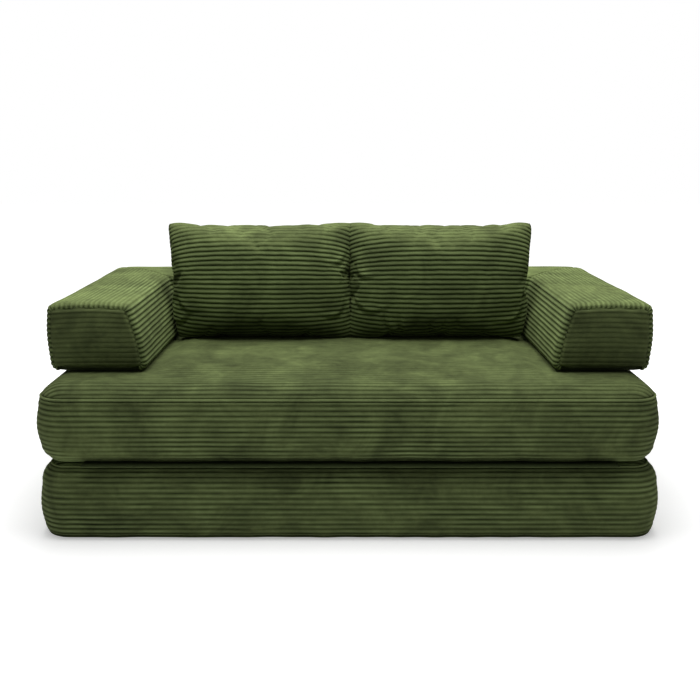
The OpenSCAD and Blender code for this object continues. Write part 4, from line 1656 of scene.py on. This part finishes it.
@dataclass
class Studio:
    """White floor, soft overhead light and the photograph's viewpoint."""

    eye: tuple[float, float, float] = (0.0, -2.779, 1.089)
    pitch: float = math.radians(90 - 13.155)
    lens: float = 44.99
    film_width: float = 36.0
    paint: tuple[float, float, float, float] = (0.9, 0.9, 0.9, 1.0)
    floor_glow: float = 0.43
    glow_from: float = 0.85
    glow_to: float = 2.3
    floor_half: float = 14.0
    floor_steps: int = 41
    fill: float = 0.12
    lamp_power: float = 122.0
    lamp_size: float = 2.8
    lamp_at: tuple[float, float, float] = (0.0, 0.1, 3.2)

    def floor(self) -> bpy.types.Object:
        """Makes the floor, a painted white sheet that glows a little where the camera sees it.

        Returns:
            The floor.
        """
        steps = np.linspace(-self.floor_half, self.floor_half, self.floor_steps)
        x, y = np.meshgrid(steps, steps)
        cover = Cover("studio_floor")
        cover.panel(stacked(x, y, 0.0), x, y)
        material, tree = new_material("white_painted_floor")
        path = add_node(tree, "LightPath")
        rays = {0: path.outputs["Is Camera Ray"], 1: path.outputs["Is Glossy Ray"]}
        seen = add_node(tree, "Math", {"operation": "MAXIMUM"}, rays)
        # Away from the sofa bed the floor fades to the white of the backdrop
        place = add_node(tree, "TexCoord").outputs["Object"]
        far = add_node(tree, "VectorMath", {"operation": "LENGTH"}, {0: place})
        fade = add_node(
            tree, "MapRange",
            {
                "interpolation_type": "SMOOTHSTEP", "From Min": self.glow_from, "From Max": self.glow_to,
                "To Min": self.floor_glow, "To Max": 1.0,
            },
            {"Value": far.outputs["Value"]},
        )
        glow = add_node(tree, "Math", {"operation": "MULTIPLY"}, {0: seen, 1: fade})
        paint = add_node(tree, "BsdfDiffuse", {"Color": self.paint})
        light = add_node(tree, "Emission", {"Color": WHITE}, {"Strength": glow})
        both = add_node(tree, "AddShader", links={0: paint, 1: light})
        add_node(tree, "OutputMaterial", links={"Surface": both})
        piece = cover.build(material)
        return piece

    def build(self) -> None:
        """Sets floor, lamp, world and camera."""
        scene = bpy.context.scene
        scene.view_settings.view_transform = "Standard"
        self.floor()
        lamp = bpy.data.lights.new("overhead_softbox", "AREA")
        lamp.energy, lamp.size, lamp.shape = self.lamp_power, self.lamp_size, "SQUARE"
        camera = bpy.data.cameras.new("camera")
        camera.lens, camera.sensor_width = self.lens, self.film_width
        for data, at, tilt in ((lamp, self.lamp_at, 0.0), (camera, self.eye, self.pitch)):
            piece = bpy.data.objects.new(data.name, data)
            piece.location, piece.rotation_euler = at, (tilt, 0.0, 0.0)
            scene.collection.objects.link(piece)
        scene.camera = piece
        world = bpy.data.worlds.new("studio_world")
        world.use_nodes = True
        scene.world = world
        tree = world.node_tree
        tree.nodes.clear()
        path = add_node(tree, "LightPath")
        rays = {0: path.outputs["Is Camera Ray"], 1: path.outputs["Is Transmission Ray"]}
        seen = add_node(tree, "Math", {"operation": "MAXIMUM"}, rays)
        strength = add_node(tree, "MapRange", {"To Min": self.fill, "To Max": 1.0}, {"Value": seen})
        background = add_node(tree, "Background", {"Color": WHITE}, {"Strength": strength})
        add_node(tree, "OutputWorld", links={"Surface": background})


class Finish(Enum):
    """Finishes of the sofa bed."""

    CORDUROY = Corduroy()
    TAPE = Woven("zip_polyester", "#232b14", "#4b552c", 0.8 * MM)
    SLIDER = Solid("zip_slider_painted_zinc", "#4b4a35", 0.35, 0.6)
    HOOK = Woven("hook_and_loop_nylon", "#141510", "#2b2d22", 0.9 * MM, 0.7)
    CANVAS = Woven("hinge_canvas", "#222b16", "#414c28", 1.0 * MM)


def dress(nodes: Sequence[str], finish: Finish) -> None:
    """Gives the frame's own nodes a finish.

    Args:
        nodes: the nodes' names.
        finish: what they are made of.
    """
    material = finish.value.material()
    for node in nodes:
        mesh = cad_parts[node].data
        mesh.materials.clear()
        mesh.materials.append(material)
    log.info("%s on %d nodes", material.name, len(nodes))


def main() -> None:
    """Builds the pieces in order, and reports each."""
    logging.basicConfig(level=logging.INFO, format="%(name)s: %(message)s")
    Studio().build()
    cloth = Cloth()
    pillow_cloth = Cloth(pitch=15.4 * MM, depth=4.0 * MM, seam_depth=0.0)
    back, up, down = (0.0, 1.0, 0.0), (0.0, 0.0, 1.0), (0.0, 0.0, -1.0)
    seat_zip, fold_out_zip, bolster_zip = (
        Zip("seat_zip", "seat", back), Zip("fold_out_zip", "fold_out", up), Zip("bolster_zip", "seat", back)
    )
    left_zip, right_zip = (Zip(f"{side}_pillow_zip", f"{side}_pillow", down) for side in ("left", "right"))
    hinge = HingeCloth()
    covers = [
        SeatMattress(
            "seat_mattress", "seat", "seat_cover", "seat_foam", cloth, seat_zip, hinge, 1,
            crown=12.0 * MM, spread=5.0 * MM, shift=-6.0 * MM, lid_painted_shade=0.82, blotch=0.09,
        ),
        Mattress(
            "fold_out_mattress", "fold_out", "fold_out_cover", "fold_out_foam", cloth, fold_out_zip, hinge, -1,
            foot_r=30.0 * MM, spread=16.0 * MM, shift=-1.5 * MM, side_painted_shade=0.95, foot_painted_shade=0.45, blotch=0.05,
        ),
        Bolster("arm_and_back_bolster", Cloth(pitch=14.3 * MM), bolster_zip),
        Pillow("left_back_pillow", -1, pillow_cloth, left_zip, seed=31, folds=LEFT_FOLDS),
        Pillow("right_back_pillow", 1, pillow_cloth, right_zip, seed=47, top_painted_light=1.08, folds=RIGHT_FOLDS),
    ]
    zips = [seat_zip, fold_out_zip, bolster_zip, left_zip, right_zip]
    for makers, finish in ((covers, Finish.CORDUROY), (zips, Finish.TAPE), ([hinge], Finish.CANVAS)):
        material = finish.value.material()
        for maker in makers:
            piece = maker.build(material)
            log.info("%s: %d faces of %s", piece.name, len(piece.data.polygons), material.name)
    dress([f"{maker.node}_slider" for maker in zips], Finish.SLIDER)
    places = ["left_arm", "right_arm", "back"]
    dress([f"{p}_{kind}_tape" for p in places for kind in ("hook", "loop")], Finish.HOOK)


if __name__ == "__main__":
    main()
